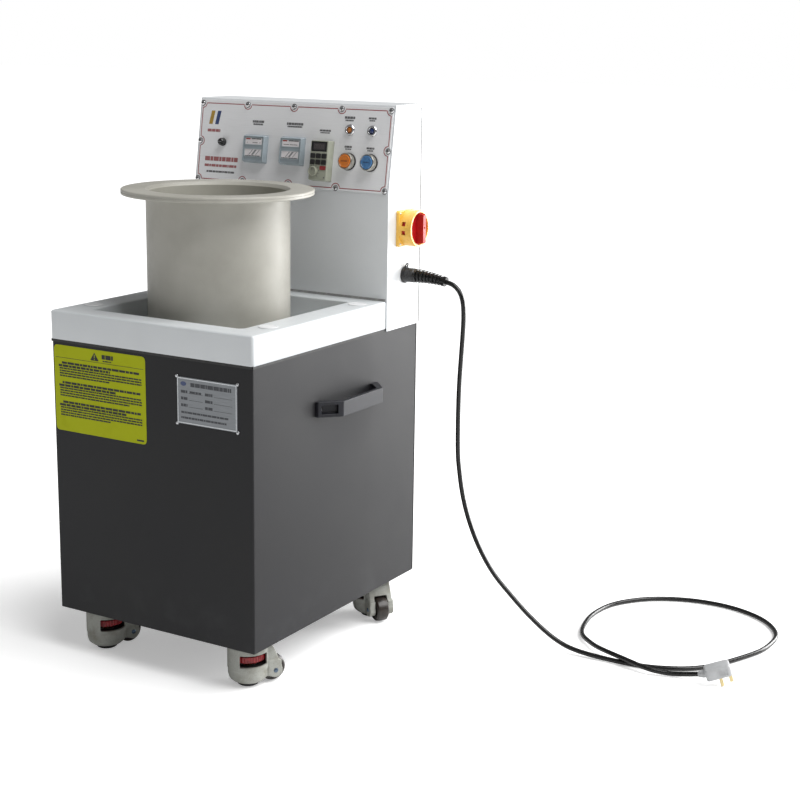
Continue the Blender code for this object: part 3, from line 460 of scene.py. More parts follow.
def repeater():
    """Tree that sets copies of one pattern piece on points, facing along `facing`."""
    tree = bpy.data.node_groups.new("set_copies", "GeometryNodeTree")
    for name, kind in (("Points", "Geometry"), ("Copy", "Object"), ("Spin", "Float"),
                       ("Finish", "Material")):
        tree.interface.new_socket(name, in_out="INPUT", socket_type=f"NodeSocket{kind}")
    tree.interface.new_socket("Pieces", in_out="OUTPUT", socket_type="NodeSocketGeometry")

    def node(kind, links=None, **values):
        made = tree.nodes.new(kind)
        for key, value in values.items():
            if hasattr(made, key):
                setattr(made, key, value)
            else:
                made.inputs[key].default_value = value
        for key, source in (links or {}).items():
            tree.links.new(source, made.inputs[key])
        return made

    given = node("NodeGroupInput")
    facing = node("GeometryNodeInputNamedAttribute", data_type="FLOAT_VECTOR", Name="facing")
    turn = node("FunctionNodeAlignRotationToVector", {"Vector": facing.outputs[0]}, axis="Z")
    chance = node("FunctionNodeRandomValue", {3: given.outputs["Spin"]}, data_type="FLOAT")
    chance.inputs["Seed"].default_value = 7
    twist = node("ShaderNodeCombineXYZ", {"Z": chance.outputs[1]})
    spun = node("FunctionNodeRotateRotation", {0: turn.outputs[0], 1: twist.outputs[0]},
                rotation_space="LOCAL")
    copy = node("GeometryNodeObjectInfo", {"Object": given.outputs["Copy"]})
    placed = node("GeometryNodeInstanceOnPoints",
                  {"Points": given.outputs["Points"], "Instance": copy.outputs["Geometry"],
                   "Rotation": spun.outputs[0]})
    real = node("GeometryNodeRealizeInstances", {0: placed.outputs[0]})
    painted = node("GeometryNodeSetMaterial",
                   {"Geometry": real.outputs[0], "Material": given.outputs["Finish"]})
    node("NodeGroupOutput", {0: painted.outputs[0]})
    return tree


SET_COPIES = repeater()


def set_copies(name, pattern, places, finish, body, spin=0.0):
    """Copies of a pattern bmesh at (place, facing) pairs, made real as one piece."""
    copy = place_mesh(f"{name}_pattern", pattern)
    mesh = bpy.data.meshes.new(name)
    mesh.from_pydata([tuple(p) for p, _ in places], [], [])
    mesh.attributes.new("facing", "FLOAT_VECTOR", "POINT")
    for spot, (_, way) in zip(mesh.attributes["facing"].data, places):
        spot.vector = way
    piece = bpy.data.objects.new(name, mesh)
    bpy.context.collection.objects.link(piece)
    grow = piece.modifiers.new("copies", "NODES")
    grow.node_group = SET_COPIES
    wanted = {"Copy": copy, "Spin": spin, "Finish": finish.material}
    for item in SET_COPIES.interface.items_tree:
        if item.in_out == "INPUT" and item.name in wanted:
            grow[item.identifier] = wanted[item.name]
    settle(piece)
    bpy.data.objects.remove(copy)
    return finish_piece(piece, None, body)


def cast_paint():
    """Speckled cream-grey paint over a coarse casting; pockets, slot and bore get painted shade."""
    finish = Finish("cast_paint", Specular_IOR_Level=0.35)
    grime = finish.remap(finish.noise(45, 4), 0.45, 0.75)
    base = finish.mix(grime, (0.36, 0.366, 0.335), (0.24, 0.236, 0.20))
    specks = finish.remap(finish.noise(900, 2), 0.56, 0.66) * 0.55
    base = finish.mix(specks, base, (0.17, 0.165, 0.14))
    # Painted shade: where the mesh marks the window pockets, the wheel slot and the bore, the paint
    # goes near black as if in shadow.
    inside = finish.node("ShaderNodeAttribute", {"attribute_name": "inside"}, "Fac")
    base = finish.mix(inside, base, (0.010, 0.010, 0.010))
    finish.surface(Base_Color=base, Roughness=finish.remap(grime, 0, 1, 0.5, 0.7))
    return finish.bump(finish.noise(700, 3), 0.0005, 0.5)


def metal(name, colour, roughness, worn):
    """Plated or bare steel with faint cloudy wear."""
    finish = Finish(name, Metallic=1.0)
    cloud = finish.remap(finish.noise(160, 4), 0.35, 0.7)
    finish.surface(Base_Color=finish.mix(cloud, colour, worn),
                   Roughness=finish.remap(finish.noise(420, 2), 0.3, 0.7, roughness * 0.8,
                                          roughness * 1.3))
    return finish.bump(finish.noise(1500, 2), 0.00008, 0.4)


def nylon(name, colour, dark, roughness):
    """Moulded nylon with flow marks."""
    finish = Finish(name, Specular_IOR_Level=0.5)
    flow = finish.remap(finish.noise(120, 4), 0.35, 0.7)
    finish.surface(Base_Color=finish.mix(flow, colour, dark),
                   Roughness=finish.remap(finish.noise(500), 0.3, 0.7, roughness - 0.05,
                                          roughness + 0.1))
    return finish.bump(finish.noise(1800, 2), 0.0001, 0.3)


def casting_mesh():
    """The housing in its own frame, fork along X: fused solids, softened like a casting."""
    body = soften([(0.0, 0.0080), (0.0275, 0.0080), (0.0342, 0.0140), (0.0362, 0.0220),
                   (0.0364, 0.0310), (0.0375, 0.0335), (0.0375, 0.0740), (0.0330, 0.0807),
                   (0.0, 0.0807)], 0.004)
    body[0] = (0.0005, 0.0080)
    body[-1] = (0.0005, 0.0807)
    piece = place_mesh("casting", turn_solid(body, 72))
    lobe = [(AXLE_OUT + 0.0135 * cos(radians(a)), AXLE_UP + 0.0135 * sin(radians(a)))
            for a in range(30, -125, -10)]
    cheek = [(0.004, 0.0765), (0.034, 0.0765), (0.0405, 0.0700), (0.0470, 0.0560), *lobe,
             (0.024, 0.0170), (0.004, 0.0170)]
    step = [(0.030, 0.0450), (0.0555, 0.0440), *lobe, (0.030, 0.0180)]
    carve(piece, [slab(cheek, -0.0240, 0.0240, "XZ"), slab(step, -0.0252, 0.0252, "XZ")], "UNION")
    wheel_gap = [(0.0170, -0.01), (0.09, -0.01), (0.09, 0.052), (0.0320, 0.052), (0.0170, 0.0365)]
    carve(piece, [
        turn_solid([(0.0325, 0.0418), (0.0325, 0.0660)], 64),
        turn_solid([(0.0212, -0.01), (0.0212, 0.0470)], 48),
        block((-0.0255, -0.06, 0.0418), (0.0255, 0.06, 0.0640)),
        slab(wheel_gap, -0.0135, 0.0135, "XZ"),
        turn_solid([(0.008, 0.050), (0.008, 0.09)], 24)])
    lump = piece.modifiers.new("fuse", "REMESH")
    lump.mode = "VOXEL"
    lump.voxel_size = 0.00105
    ease = piece.modifiers.new("ease", "SMOOTH")
    ease.factor = 0.5
    ease.iterations = 3
    settle(piece)
    mesh = piece.data
    # Mark the window pockets, the wheel slot and the bore, which the paint darkens as painted
    # shade.
    dark = mesh.attributes.new("inside", "FLOAT", "POINT")
    for vertex in mesh.vertices:
        x, y, z = vertex.co
        pocket = hypot(x, y) < 0.0337 and 0.0400 < z < 0.0680
        slot = abs(y) < 0.0128 and z < 0.054 and x > 0.012
        dark.data[vertex.index].value = 1.0 if pocket or slot or hypot(x, y) < 0.0205 else 0.0
    mesh.shade_smooth()
    bpy.data.objects.remove(piece)
    return mesh


def casters():
    """Each caster's housing, rivet, race, roller, thumb wheel, rubber foot and screw."""
    paint, steel = cast_paint(), metal("blued_rivet", (0.16, 0.22, 0.30), 0.3, (0.08, 0.10, 0.13))
    zinc = metal("yellow_zinc", (0.55, 0.47, 0.30), 0.4, (0.38, 0.30, 0.18))
    red = nylon("red_nylon", (0.30, 0.004, 0.008), (0.16, 0.003, 0.005), 0.34)
    black = nylon("roller_nylon", (0.016, 0.013, 0.011), (0.030, 0.022, 0.017), 0.32)
    sole = rubber("foot_rubber", 0.014, 0.6)
    casting = casting_mesh()
    roller = [(0.0031, -0.01225), (0.0085, -0.01225), (0.0090, -0.0105), (0.0175, -0.0105),
              (0.0185, -0.01225), (0.0208, -0.01225), (0.0236, -0.0095), (0.0244, -0.0040),
              (0.0245, 0.0)]
    roller += [(r, -z) for r, z in reversed(roller[:-1])]
    thread = [(0.0070 - 0.0009 * (k % 2), 0.0092 + 0.001 * k) for k in range(56)]
    on_axle = Matrix.Translation((AXLE_OUT, 0, AXLE_UP))
    for place, (x, y, turn) in CASTER_CENTRES.items():
        name = f"caster_{place}"
        seat = (Matrix.Translation((x - MACHINE_SHIFT, y, 0)) @
                Matrix.Rotation(radians(turn), 4, "Z"))

        mesh = casting.copy()
        mesh.transform(seat)
        housing = bpy.data.objects.new(f"{name}_casting", mesh)
        bpy.context.collection.objects.link(housing)
        finish_piece(housing, paint, f"{place}_housing", (f"{name}_housing",))

        rivet = bmesh.new()
        dome = [(0.0001, 0.0271), (0.0030, 0.0268), (0.0042, 0.0260), (0.0045, 0.0245)]
        for side in (1, -1):
            cap = turn_solid([(r, -z) for r, z in reversed(dome)], 24)
            join_in(rivet, cap, on_axle @ Matrix.Rotation(side * pi / 2, 4, "X"))
        add_piece(f"{name}_rivet", rivet, steel, "housing", seat, f"{place}_housing")
        race = turn_solid([(0.0250, 0.0790), (0.0335, 0.0790), (0.0345, 0.0800), (0.0345, 0.0815),
                           (0.0250, 0.0815)], 48, bore=True)
        add_piece(f"{name}_race", race, zinc, "housing", seat, f"{place}_housing")

        axle = seat @ on_axle @ Matrix.Rotation(pi / 2, 4, "X")
        add_piece(f"{name}_roller", turn_solid(roller, 56, bore=True), black, "wheel", axle,
                  f"{place}_wheel", (f"{name}_wheel",))

        ribs = [ring(0.0307 - (0.0012 if z in (0.0480, 0.0600) else 0), z, 144, 0.0005, 36)
                for z in (0.0480, 0.0490, 0.0590, 0.0600)]
        bore = [ring(0.0075, z, 144) for z in (0.0600, 0.0480)]
        add_piece(f"{name}_ribbed_wheel", skin(bmesh.new(), ribs + bore, close=True), red,
                  "thumbwheel", seat, f"{place}_thumbwheel", (f"{name}_thumbwheel",))

        foot = soften([(0.0175, 0.0), (0.0192, 0.0012), (0.0195, 0.0070), (0.0180, 0.0088),
                       (0.0072, 0.0090)], 0.0008)
        add_piece(f"{name}_foot", turn_solid(foot, 48), sole, "pad", seat, f"{place}_pad",
                  (f"{name}_pad",))
        add_piece(f"{name}_screw", turn_solid(thread, 24), zinc, "pad", seat, f"{place}_pad")
    bpy.data.meshes.remove(casting)


casters()


# ---- cabinet -----------------------------------------------------------------------------------
# One 2 mm steel sheet bent round the front and sides, and a screwed rear panel, all in textured
# charcoal powder coat; the floor plate carries the casters. Both keep their CAD edges' places.
def charcoal_paint(name, shade=0.0155):
    """Fine-textured powder coat, a little uneven, scuffed paler near the floor."""
    finish = Finish(name, Specular_IOR_Level=0.26)
    uneven = finish.remap(finish.noise(6, 4), 0.35, 0.65)
    base = finish.mix(uneven, (shade * 0.93, shade * 0.93, shade),
                      (shade * 1.07, shade * 1.08, shade * 1.2))
    height = finish.node("ShaderNodeSeparateXYZ", output="Z", Vector=finish.place)
    low = finish.remap(height, 0.20, 0.09) * finish.remap(finish.noise(24, 5), 0.5, 0.75)
    base = finish.mix(low * 0.16, base, (0.075, 0.075, 0.078))
    grain = finish.noise(1300, 3, 0.6)
    finish.surface(Base_Color=base, Roughness=finish.remap(uneven, 0, 1, 0.47, 0.55))
    return finish.bump(grain, 0.00028, 0.45)


def louvre_blade():
    """One pressed louvre in its own frame: long along X, open along its lower edge."""
    arch = [(0.0, 0.006), (0.0014, 0.0052), (0.0026, 0.0034), (0.0033, 0.001), (0.0034, -0.004),
            (0.0026, -0.004), (0.0026, 0.0008), (0.0018, 0.0028), (0.0008, 0.0042), (0.0, 0.0048)]
    shape = bmesh.new()
    loops = []
    for y, grow in ((-0.045, 0.15), (-0.042, 0.8), (-0.038, 1), (0.038, 1), (0.042, 0.8),
                    (0.045, 0.15)):
        loops.append([(b, y, a * grow) for a, b in arch])
    blade = skin(shape, loops)
    bmesh.ops.rotate(blade, matrix=Matrix.Rotation(-pi / 2, 3, "Z"), verts=blade.verts)
    return blade


def pan_screw(radius, height):
    """A pan-head screw, head up."""
    dome = [(0.0001, 0.0), (radius, 0.0), (radius, height * 0.15), (radius * 0.8, height * 0.7),
            (radius * 0.45, height * 0.97), (0.0001, height)]
    return turn_solid(dome, 20)


def on_faces(way, places):
    """Where copies sit on a flat face of the machine, with the way they face."""
    return [(Vector((x - MACHINE_SHIFT, y, z)), Vector(way)) for x, y, z in places]


def cabinet():
    """The wrapped sheet, its rear panel with louvres and screws, and the floor plate."""
    paint = charcoal_paint("charcoal_coat")
    low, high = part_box("cabinet_shell")
    sheet, lip = 0.002, 0.022
    left, right, front, back = low.x, high.x, low.y, high.y
    outline = [(left, front), (right, front), (right, back), (right - lip, back),
               (right - lip, back - sheet), (right - sheet, back - sheet),
               (right - sheet, front + sheet), (left + sheet, front + sheet),
               (left + sheet, back - sheet), (left + lip, back - sheet), (left + lip, back),
               (left, back)]
    bends = [0.0030, 0.0030, 0.0026, 0, 0, 0.0008, 0.0012, 0.0012, 0.0008, 0, 0, 0.0026]
    wrap = place_mesh("cabinet_wrap", slab(round_corners(outline, bends, 5), low.z, high.z))
    finish_piece(wrap, paint, "frame", ("cabinet_shell",))

    low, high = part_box("rear_panel")
    panel = place_mesh("rear_access_panel", block(low, high))
    round_edges(panel, 0.0006)
    finish_piece(panel, paint, "frame", ("rear_panel",))
    rows = on_faces((0, 1, 0), [(x, high.y, z) for x in (-0.110, 0.0, 0.110) for z in
                                (0.165, 0.185, 0.205, 0.225, 0.455, 0.475, 0.495)])
    set_copies("rear_louvres", louvre_blade(), rows, paint, "frame")
    zinc = metal("bright_screw", (0.62, 0.63, 0.65), 0.28, (0.45, 0.45, 0.46))
    spots = on_faces((0, 1, 0), [(x, high.y, z) for x in (-0.2115, 0.2115)
                                 for z in (0.105, 0.34, 0.575)])
    set_copies("rear_panel_screws", pan_screw(0.0042, 0.0024), spots, zinc, "frame",
               spin=2 * pi)
    shadow = charcoal_paint("floor_plate_coat", 0.026)
    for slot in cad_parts["base_plate"].material_slots:
        slot.material = shadow.material
    return paint, zinc


charcoal, bright_screw = cabinet()


# ---- labels on the cabinet's front -------------------------------------------------------------
# A yellow vinyl notice stuck on the left and a small grey rating plate held by four rivets. Their
# wording is only rows of plain bars.
def print_row(dice, left, right, low, high, letter, drop=0.0):
    """Bars that stand for one line of print, as word after word."""
    bars, at = [], left
    while at < right - letter:
        wide = min(letter * dice.uniform(1.6, 6.5), right - at)
        if dice.random() >= drop:
            bars.append((at, low, at + wide, high))
        at += wide + letter * 0.55
    return bars


INK_FILM = 0.00012


def print_bars(name, bars, seat, finish, body, slot, lift=0.0):
    """Printed marks as thin raised blocks on a face; bars are (u, v, u, v)."""
    shape = bmesh.new()
    for u0, v0, u1, v1 in bars:
        block((u0, v0, lift), (u1, v1, lift + INK_FILM), shape)
    return add_piece(name, shape, finish, slot, seat, body, tidy=False)


def ink(name, colour, roughness=0.5):
    """Screen-printed ink, slightly broken."""
    finish = Finish(name)
    thin = finish.remap(finish.noise(1800, 2), 0.55, 0.8)
    pale = tuple(min(1.0, c * 1.5 + 0.02) for c in colour)
    finish.surface(Base_Color=finish.mix(thin, colour, pale),
                   Roughness=finish.remap(thin, 0, 1, roughness, roughness + 0.15))
    return finish


def vinyl(name, colour, roughness, soil=(0.2, 0.19, 0.12)):
    """A printed self-adhesive sheet with faint soiling and a soft ripple."""
    finish = Finish(name, Specular_IOR_Level=0.2)
    grime = finish.remap(finish.noise(38, 5), 0.52, 0.85)
    finish.surface(Base_Color=finish.mix(grime * 0.35, colour, soil),
                   Roughness=finish.remap(grime, 0, 1, roughness, roughness + 0.12))
    return finish.bump(finish.noise(26, 2), 0.0016, 0.25)


def front_labels():
    """The notice and the rating plate with their marks, in the front face's own frame."""
    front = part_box("cabinet_shell")[0].y
    face = Matrix.Translation((-MACHINE_SHIFT, front, 0)) @ Matrix.Rotation(pi / 2, 4, "X")
    black = ink("label_black", (0.006, 0.007, 0.004))
    left, right, bottom, top = -0.2195, -0.008, 0.431, 0.590
    lift = 0.00025
    corners = round_corners(oblong(left, bottom, right, top), 0.009, 6)
    add_piece("notice_sheet", slab(corners, 0.0, lift),
              vinyl("notice_vinyl", (0.39, 0.43, 0.0), 0.5, (0.27, 0.28, 0.0)), "cabinet_shell",
              face)

    dice = random.Random(11)
    bars = [(left + 0.004, 0.5668, right - 0.004, 0.5675)]
    bars += print_row(dice, -0.1070, -0.0810, 0.5745, 0.5825, 0.0020)
    bars += print_row(dice, -0.1050, -0.0850, 0.5700, 0.5722, 0.0016)
    at = 0.5600
    for _ in range(3):
        for k in range(2):
            end = right - (0.012 if k == 0 else 0.030 + dice.uniform(0, 0.06))
            bars += print_row(dice, left + (0.018 if k == 0 else 0.010), end, at - 0.0042, at,
                              0.0024)
            at -= 0.0056
        for k in range(4):
            end = right - (0.009 if k < 3 else 0.020 + dice.uniform(0.01, 0.09))
            bars += print_row(dice, left + 0.012, end, at - 0.0027, at, 0.0017)
            at -= 0.0046
        at -= 0.0068
    bars += [(-0.030, 0.4355, -0.014, 0.4385)]
    print_bars("notice_print", bars, face, black, "frame", "cabinet_shell", lift=lift)
    triangle = round_corners([(-0.1340, 0.5698), (-0.1140, 0.5698), (-0.1240, 0.5850)], 0.001, 3)
    add_piece("notice_triangle", slab(triangle, lift, lift + INK_FILM), black, "cabinet_shell",
              face)
    print_bars("notice_triangle_stroke", [(-0.1249, 0.5745, -0.1231, 0.5810),
                                          (-0.1249, 0.5712, -0.1231, 0.5730)], face,
               ink("notice_yellow", (0.265, 0.300, 0.002)), "frame", "cabinet_shell",
               lift=lift + INK_FILM)

    left, right, bottom, top = 0.0625, 0.1915, 0.482, 0.565
    corners = round_corners(oblong(left, bottom, right, top), 0.003, 4)
    plate = place_mesh("rating_plate", slab(corners, 0.0, 0.0008), face)
    grey = Finish("plate_lacquer", Metallic=0.55)
    brushed = grey.node("ShaderNodeTexNoise", Vector=grey.stretched((40, 900, 2600)), Scale=1.0,
                        Detail=3.0)
    grey.surface(Base_Color=grey.mix(grey.remap(brushed, 0.3, 0.7), (0.20, 0.212, 0.225),
                                     (0.28, 0.295, 0.31)),
                 Roughness=grey.remap(brushed, 0.3, 0.7, 0.38, 0.5))
    finish_piece(plate, grey, "frame")
    outer, inner = (round_corners(oblong(left + g, bottom + g, right - g, top - g), bend, 4)
                    for g, bend in ((0.0012, 0.0025), (0.0028, 0.0015)))
    loops = [[(u, v, z) for u, v in line] for line, z in
             ((outer, 0.0007), (outer, 0.0013), (inner, 0.0013), (inner, 0.0007))]
    add_piece("rating_plate_rim", skin(bmesh.new(), loops, close=True),
              metal("rim_bright", (0.62, 0.64, 0.66), 0.3, (0.5, 0.52, 0.54)), "cabinet_shell",
              face)
    dice = random.Random(5)
    bars = print_row(dice, 0.0920, 0.1790, 0.5495, 0.5565, 0.0019)
    for v, fields in ((0.5370, 3), (0.5250, 2), (0.5130, 2), (0.5010, 0), (0.4915, 0)):
        if not fields:
            bars += print_row(dice, 0.0710, 0.1770 - dice.uniform(0, 0.01), v, v + 0.0036, 0.0016)
            continue
        bars += print_row(dice, 0.0710, 0.0850, v, v + 0.0050, 0.0018)
        bars += [(0.0880, v, 0.1180, v + 0.0006)]
        bars += print_row(dice, 0.1230, 0.1390, v, v + 0.0050, 0.0018)
        bars += [(0.1420, v, 0.1810, v + 0.0006)]
        if fields == 3:
            bars += print_row(dice, 0.0900, 0.1150, v + 0.0008, v + 0.0046, 0.0018)
    print_bars("rating_plate_print", bars, face, ink("plate_ink", (0.045, 0.048, 0.055)), "frame",
               "cabinet_shell", lift=0.0008)
    oval = [(0.0765 + 0.0062 * cos(i * pi / 12), 0.5535 + 0.0040 * sin(i * pi / 12))
            for i in range(24)]
    add_piece("rating_plate_badge", slab(oval, 0.0008, 0.00095),
              ink("badge_blue", (0.05, 0.07, 0.16)), "cabinet_shell", face)
    pins = on_faces((0, -1, 0), [(u, front, v) for u in (left - 0.0005, right + 0.0005)
                                 for v in (bottom - 0.0005, top + 0.0005)])
    set_copies("rating_plate_rivets", pan_screw(0.0032, 0.0022), pins, bright_screw, "frame")


front_labels()


# ---- handles -----------------------------------------------------------------------------------
# Two moulded bridge handles, one on each side, each held by screws through its feet; the sloping
# legs have a shallow pocket on their outer faces and the bar is slightly crowned.
def handle_plastic():
    """Semi-gloss moulded nylon, near black, with a fine spark-eroded grain."""
    finish = Finish("handle_plastic", Specular_IOR_Level=0.34)
    rubbed = finish.remap(finish.noise(70, 4), 0.4, 0.75)
    finish.surface(Base_Color=finish.mix(rubbed, (0.010, 0.0105, 0.014), (0.018, 0.019, 0.026)),
                   Roughness=finish.remap(rubbed, 0, 1, 0.34, 0.44))
    return finish.bump(finish.noise(2400, 2), 0.00015, 0.4)


def handles():
    """Both handles from one outline; X runs out from the cabinet's side."""
    plastic = handle_plastic()
    outline = [(0.0003, -0.1025), (0.0070, -0.1025), (0.0350, -0.0710), (0.0380, -0.0670),
               (0.0380, 0.0670), (0.0350, 0.0710), (0.0070, 0.1025), (0.0003, 0.1025),
               (0.0003, 0.0825), (0.0060, 0.0825), (0.0300, 0.0580), (0.0300, -0.0580),
               (0.0060, -0.0825), (0.0003, -0.0825)]
    radii = [0.001, 0.004, 0.006, 0.005, 0.005, 0.006, 0.004, 0.001, 0.001, 0.003, 0.004, 0.004,
             0.003, 0.001]
    for side, sign in (("right", 1), ("left", -1)):
        low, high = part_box(f"handle_{side}")
        wall = low.x - 0.0003 if sign > 0 else high.x + 0.0003
        middle = (low + high) / 2
        shape = slab(round_corners(outline, radii, 4), -0.014, 0.014)
        grip = place_mesh(f"bridge_handle_{side}", shape)
        pockets = []
        for end in (1, -1):
            base = Vector((0.0070, end * 0.1025))
            along = (Vector((0.0350, end * 0.0710)) - base).normalized()
            out = Vector((along.y, -along.x)) * (1 if end > 0 else -1)
            quad = [base + along * a + out * b for a, b in
                    ((0.006, -0.0016), (0.037, -0.0016), (0.037, 0.01), (0.006, 0.01))]
            pockets.append(slab([tuple(p) for p in quad], -0.0085, 0.0085))
        carve(grip, pockets)
        flip = Matrix.Diagonal((sign, 1, 1, 1))
        grip.data.transform(Matrix.Translation((wall, middle.y, middle.z)) @ flip)
        if sign < 0:
            grip.data.flip_normals()
        set_smooth(grip, 40)
        round_edges(grip, 0.0016, 3, 40)
        finish_piece(grip, plastic, "frame", (f"handle_{side}",))
        outwards = Vector((sign, 0, 0))
        spots = [(Vector((wall + sign * 0.0062, middle.y + e * 0.0930, middle.z)), outwards)
                 for e in (-1, 1)]
        set_copies(f"handle_screws_{side}", pan_screw(0.0034, 0.0020), spots, bright_screw,
                   "frame", spin=pi)


handles()


# ---- top tray and rim caps ---------------------------------------------------------------------
# A welded tray of 2 mm steel in smooth light-grey enamel, dropped over the cabinet: skirt, flat rim
# and a square well. Four moulded caps close the lifting holes; a black strip of painted shadow
# lines the skirt's foot.
def enamel(name, colour=(0.79, 0.80, 0.81), roughness=0.33):
    """Light-grey baked enamel with a trace of orange peel and handling marks."""
    finish = Finish(name, Specular_IOR_Level=0.5)
    marks = finish.remap(finish.noise(14, 5), 0.5, 0.8)
    base = finish.mix(marks * 0.3, colour, tuple(c * 0.86 for c in colour))
    finish.surface(Base_Color=base, Roughness=finish.remap(finish.noise(60, 3), 0.3, 0.7,
                                                           roughness - 0.04, roughness + 0.09))
    return finish.bump(finish.noise(330, 2), 0.00010, 0.35)


def rounded_rect(width, depth, radius, z, middle=(0.0, 0.0), steps=8):
    """A level rectangle with round corners."""
    w, d = width / 2, depth / 2
    corners = [(middle[0] + sx * w, middle[1] + sy * d)
               for sx, sy in ((1, 1), (-1, 1), (-1, -1), (1, -1))]
    points = []
    for i, (sx, sy) in enumerate(((1, 1), (-1, 1), (-1, -1), (1, -1))):
        cx, cy = corners[i][0] - sx * radius, corners[i][1] - sy * radius
        for k in range(steps + 1):
            angle = (i + k / steps) * pi / 2
            points.append((cx + radius * cos(angle), cy + radius * sin(angle), z))
    return points


def tray():
    """Tray as one folded skin, a black strip of painted shadow under its skirt, and the four caps.
    """
    paint = enamel("tray_enamel", (0.62, 0.645, 0.66))
    low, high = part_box("top_tray")
    wide, deep = high.x - low.x, high.y - low.y
    middle = ((low.x + high.x) / 2, (low.y + high.y) / 2)
    well, well_w, well_d = (-MACHINE_SHIFT, -0.0575), 0.336, 0.340
    rim, floor = high.z, high.z - 0.060
    skirt_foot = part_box("cabinet_shell")[1].z + 0.0003
    loops = []

    def fold(width, depth, radius, middle, bend, z, start, stop, steps=5):
        """Round a fold: the outline grows by bend*cos and rises by bend*sin."""
        for k in range(steps + 1):
            angle = radians(start + (stop - start) * k / steps)
            grow = bend * cos(angle)
            loops.append(rounded_rect(width + 2 * grow, depth + 2 * grow, radius + grow,
                                      z + bend * sin(angle), middle))

    loops.append(rounded_rect(well_w - 0.002, well_d - 0.002, 0.007, floor, well))
    fold(well_w - 0.006, well_d - 0.006, 0.008, well, 0.003, floor + 0.003, -90, 0)
    for a in (radians(18 * k) for k in range(6)):
        grow = 0.006 - 0.006 * cos(a)
        loops.append(rounded_rect(well_w + grow, well_d + grow, 0.014 - 0.003 * cos(a),
                                  rim - 0.003 + 0.003 * sin(a), well))
    fold(wide - 0.008, deep - 0.008, 0.001, middle, 0.004, rim - 0.004, 90, 0, 6)
    loops += [rounded_rect(wide - g, deep - g, corner, z, middle) for g, corner, z in
              ((0, 0.005, skirt_foot + 0.0008), (0.001, 0.0045, skirt_foot),
               (0.004, 0.003, skirt_foot), (0.004, 0.003, rim - 0.002))]
    loops += [rounded_rect(well_w + 0.004, well_d + 0.004, 0.009, z, well)
              for z in (rim - 0.002, floor - 0.002)]
    add_piece("folded_tray", skin(bmesh.new(), loops), paint, "top_tray",
              stands_for=("top_tray",), sharp=40)

    # Painted shadow: a black strip round the skirt's foot stands for the shadow gap between the
    # tray's skirt and the cabinet.
    dark = rubber("gasket_rubber", 0.020, 0.6)
    shell_low, shell_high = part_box("cabinet_shell")
    strip = bmesh.new()
    top = skirt_foot - 0.0002
    x0, x1, y0 = shell_low.x - 0.0010, shell_high.x + 0.0010, shell_low.y - 0.0010
    block((x0, y0, top - 0.0045), (x1, y0 + 0.0011, top), strip)
    block((x0, y0, top - 0.0045), (x0 + 0.0011, 0.150, top), strip)
    block((x1 - 0.0011, y0, top - 0.0045), (x1, 0.150, top), strip)
    add_piece("skirt_gasket", strip, dark, "top_tray", tidy=False)

    plastic = nylon("cap_plastic", (0.74, 0.75, 0.76), (0.66, 0.67, 0.68), 0.4)
    for index in range(1, 5):
        low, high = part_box(f"rim_cap_{index}")
        x, y = (low.x + high.x) / 2, (low.y + high.y) / 2
        profile = soften([(0.0001, 0.0014), (0.0120, 0.0014), (0.0136, 0.0010), (0.0148, 0.0016),
                          (0.0168, 0.0015), (0.0180, 0.0003), (0.0140, 0.0003), (0.0140, -0.004),
                          (0.0001, -0.004)], 0.0006)
        add_piece(f"snap_cap_{index}", turn_solid(profile[::-1], 48), plastic, "rim_cap",
                  Matrix.Translation((x, y, rim)), stands_for=(f"rim_cap_{index}",))


tray()


# ---- drive -------------------------------------------------------------------------------------
# Inside the cabinet: a flange motor hung under a folded bridge, a steel hub on its shaft and an
# aluminium disc with eight magnets that runs just below the well. Only the finishes are set here.
def drive_finishes():
    """Cast, sheet and machined finishes for the hidden drive, on the CAD's own meshes."""
    motor = charcoal_paint("motor_blue", 0.05)
    disc = metal("turned_aluminium", (0.62, 0.63, 0.65), 0.3, (0.5, 0.51, 0.53))
    looks = {"drive_motor": motor, "motor_bridge": charcoal, "magnet_disc": disc,
             "drive_hub": bright_screw,
             "inverter_body": nylon("controller_case", (0.03, 0.03, 0.033), (0.045, 0.045, 0.05),
                                    0.5),
             "isolator_switch_block": nylon("switch_case", (0.04, 0.04, 0.04), (0.06, 0.06, 0.06),
                                            0.5)}
    for node, finish in looks.items():
        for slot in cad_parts[node].material_slots:
            slot.material = finish.material


drive_finishes()


# ---- tub ---------------------------------------------------------------------------------------
# The lift-out tub: a turned polypropylene pot, 5 mm thick, with a wide 10 mm flange welded round
# its mouth as two plates. It holds the work, the steel pins and the liquid.
def tub_plastic():
    """Natural polypropylene: warm off-white, faintly cloudy, greyed by steel dust inside."""
    finish = Finish("tub_polypropylene", Specular_IOR_Level=0.45)
    x, y, z = (finish.node("ShaderNodeSeparateXYZ", output=axis, Vector=finish.place)
               for axis in "XYZ")
    out = ((x + MACHINE_SHIFT) ** 2 + (y + 0.068) ** 2) ** 0.5
    cloud = finish.remap(finish.noise(11, 5), 0.35, 0.7)
    base = finish.mix(cloud, (0.41, 0.40, 0.358), (0.335, 0.325, 0.285))
    bore = finish.remap(out, 0.1278, 0.1262)
    streaks = finish.node("ShaderNodeTexNoise", Vector=finish.stretched((60, 60, 7)), Scale=1.0,
                          Detail=4.0)
    base = finish.mix(bore * finish.remap(streaks, 0.3, 0.7, 0.55, 0.9), base,
                      (0.42, 0.41, 0.355))
    scuff = finish.remap(finish.noise(420, 3), 0.60, 0.70) * finish.remap(z, 0.862, 0.868)
    base = finish.mix(scuff * 0.4, base, (0.50, 0.48, 0.42))
    finish.surface(Base_Color=base, Roughness=finish.remap(finish.noise(90, 3), 0.3, 0.7, 0.40,
                                                           0.56))
    rings = finish.node("ShaderNodeTexNoise", Vector=finish.stretched((8, 8, 900)), Scale=1.0)
    return finish.bump(rings * 0.5 + finish.noise(800, 2) * 0.5, 0.00018, 0.35)


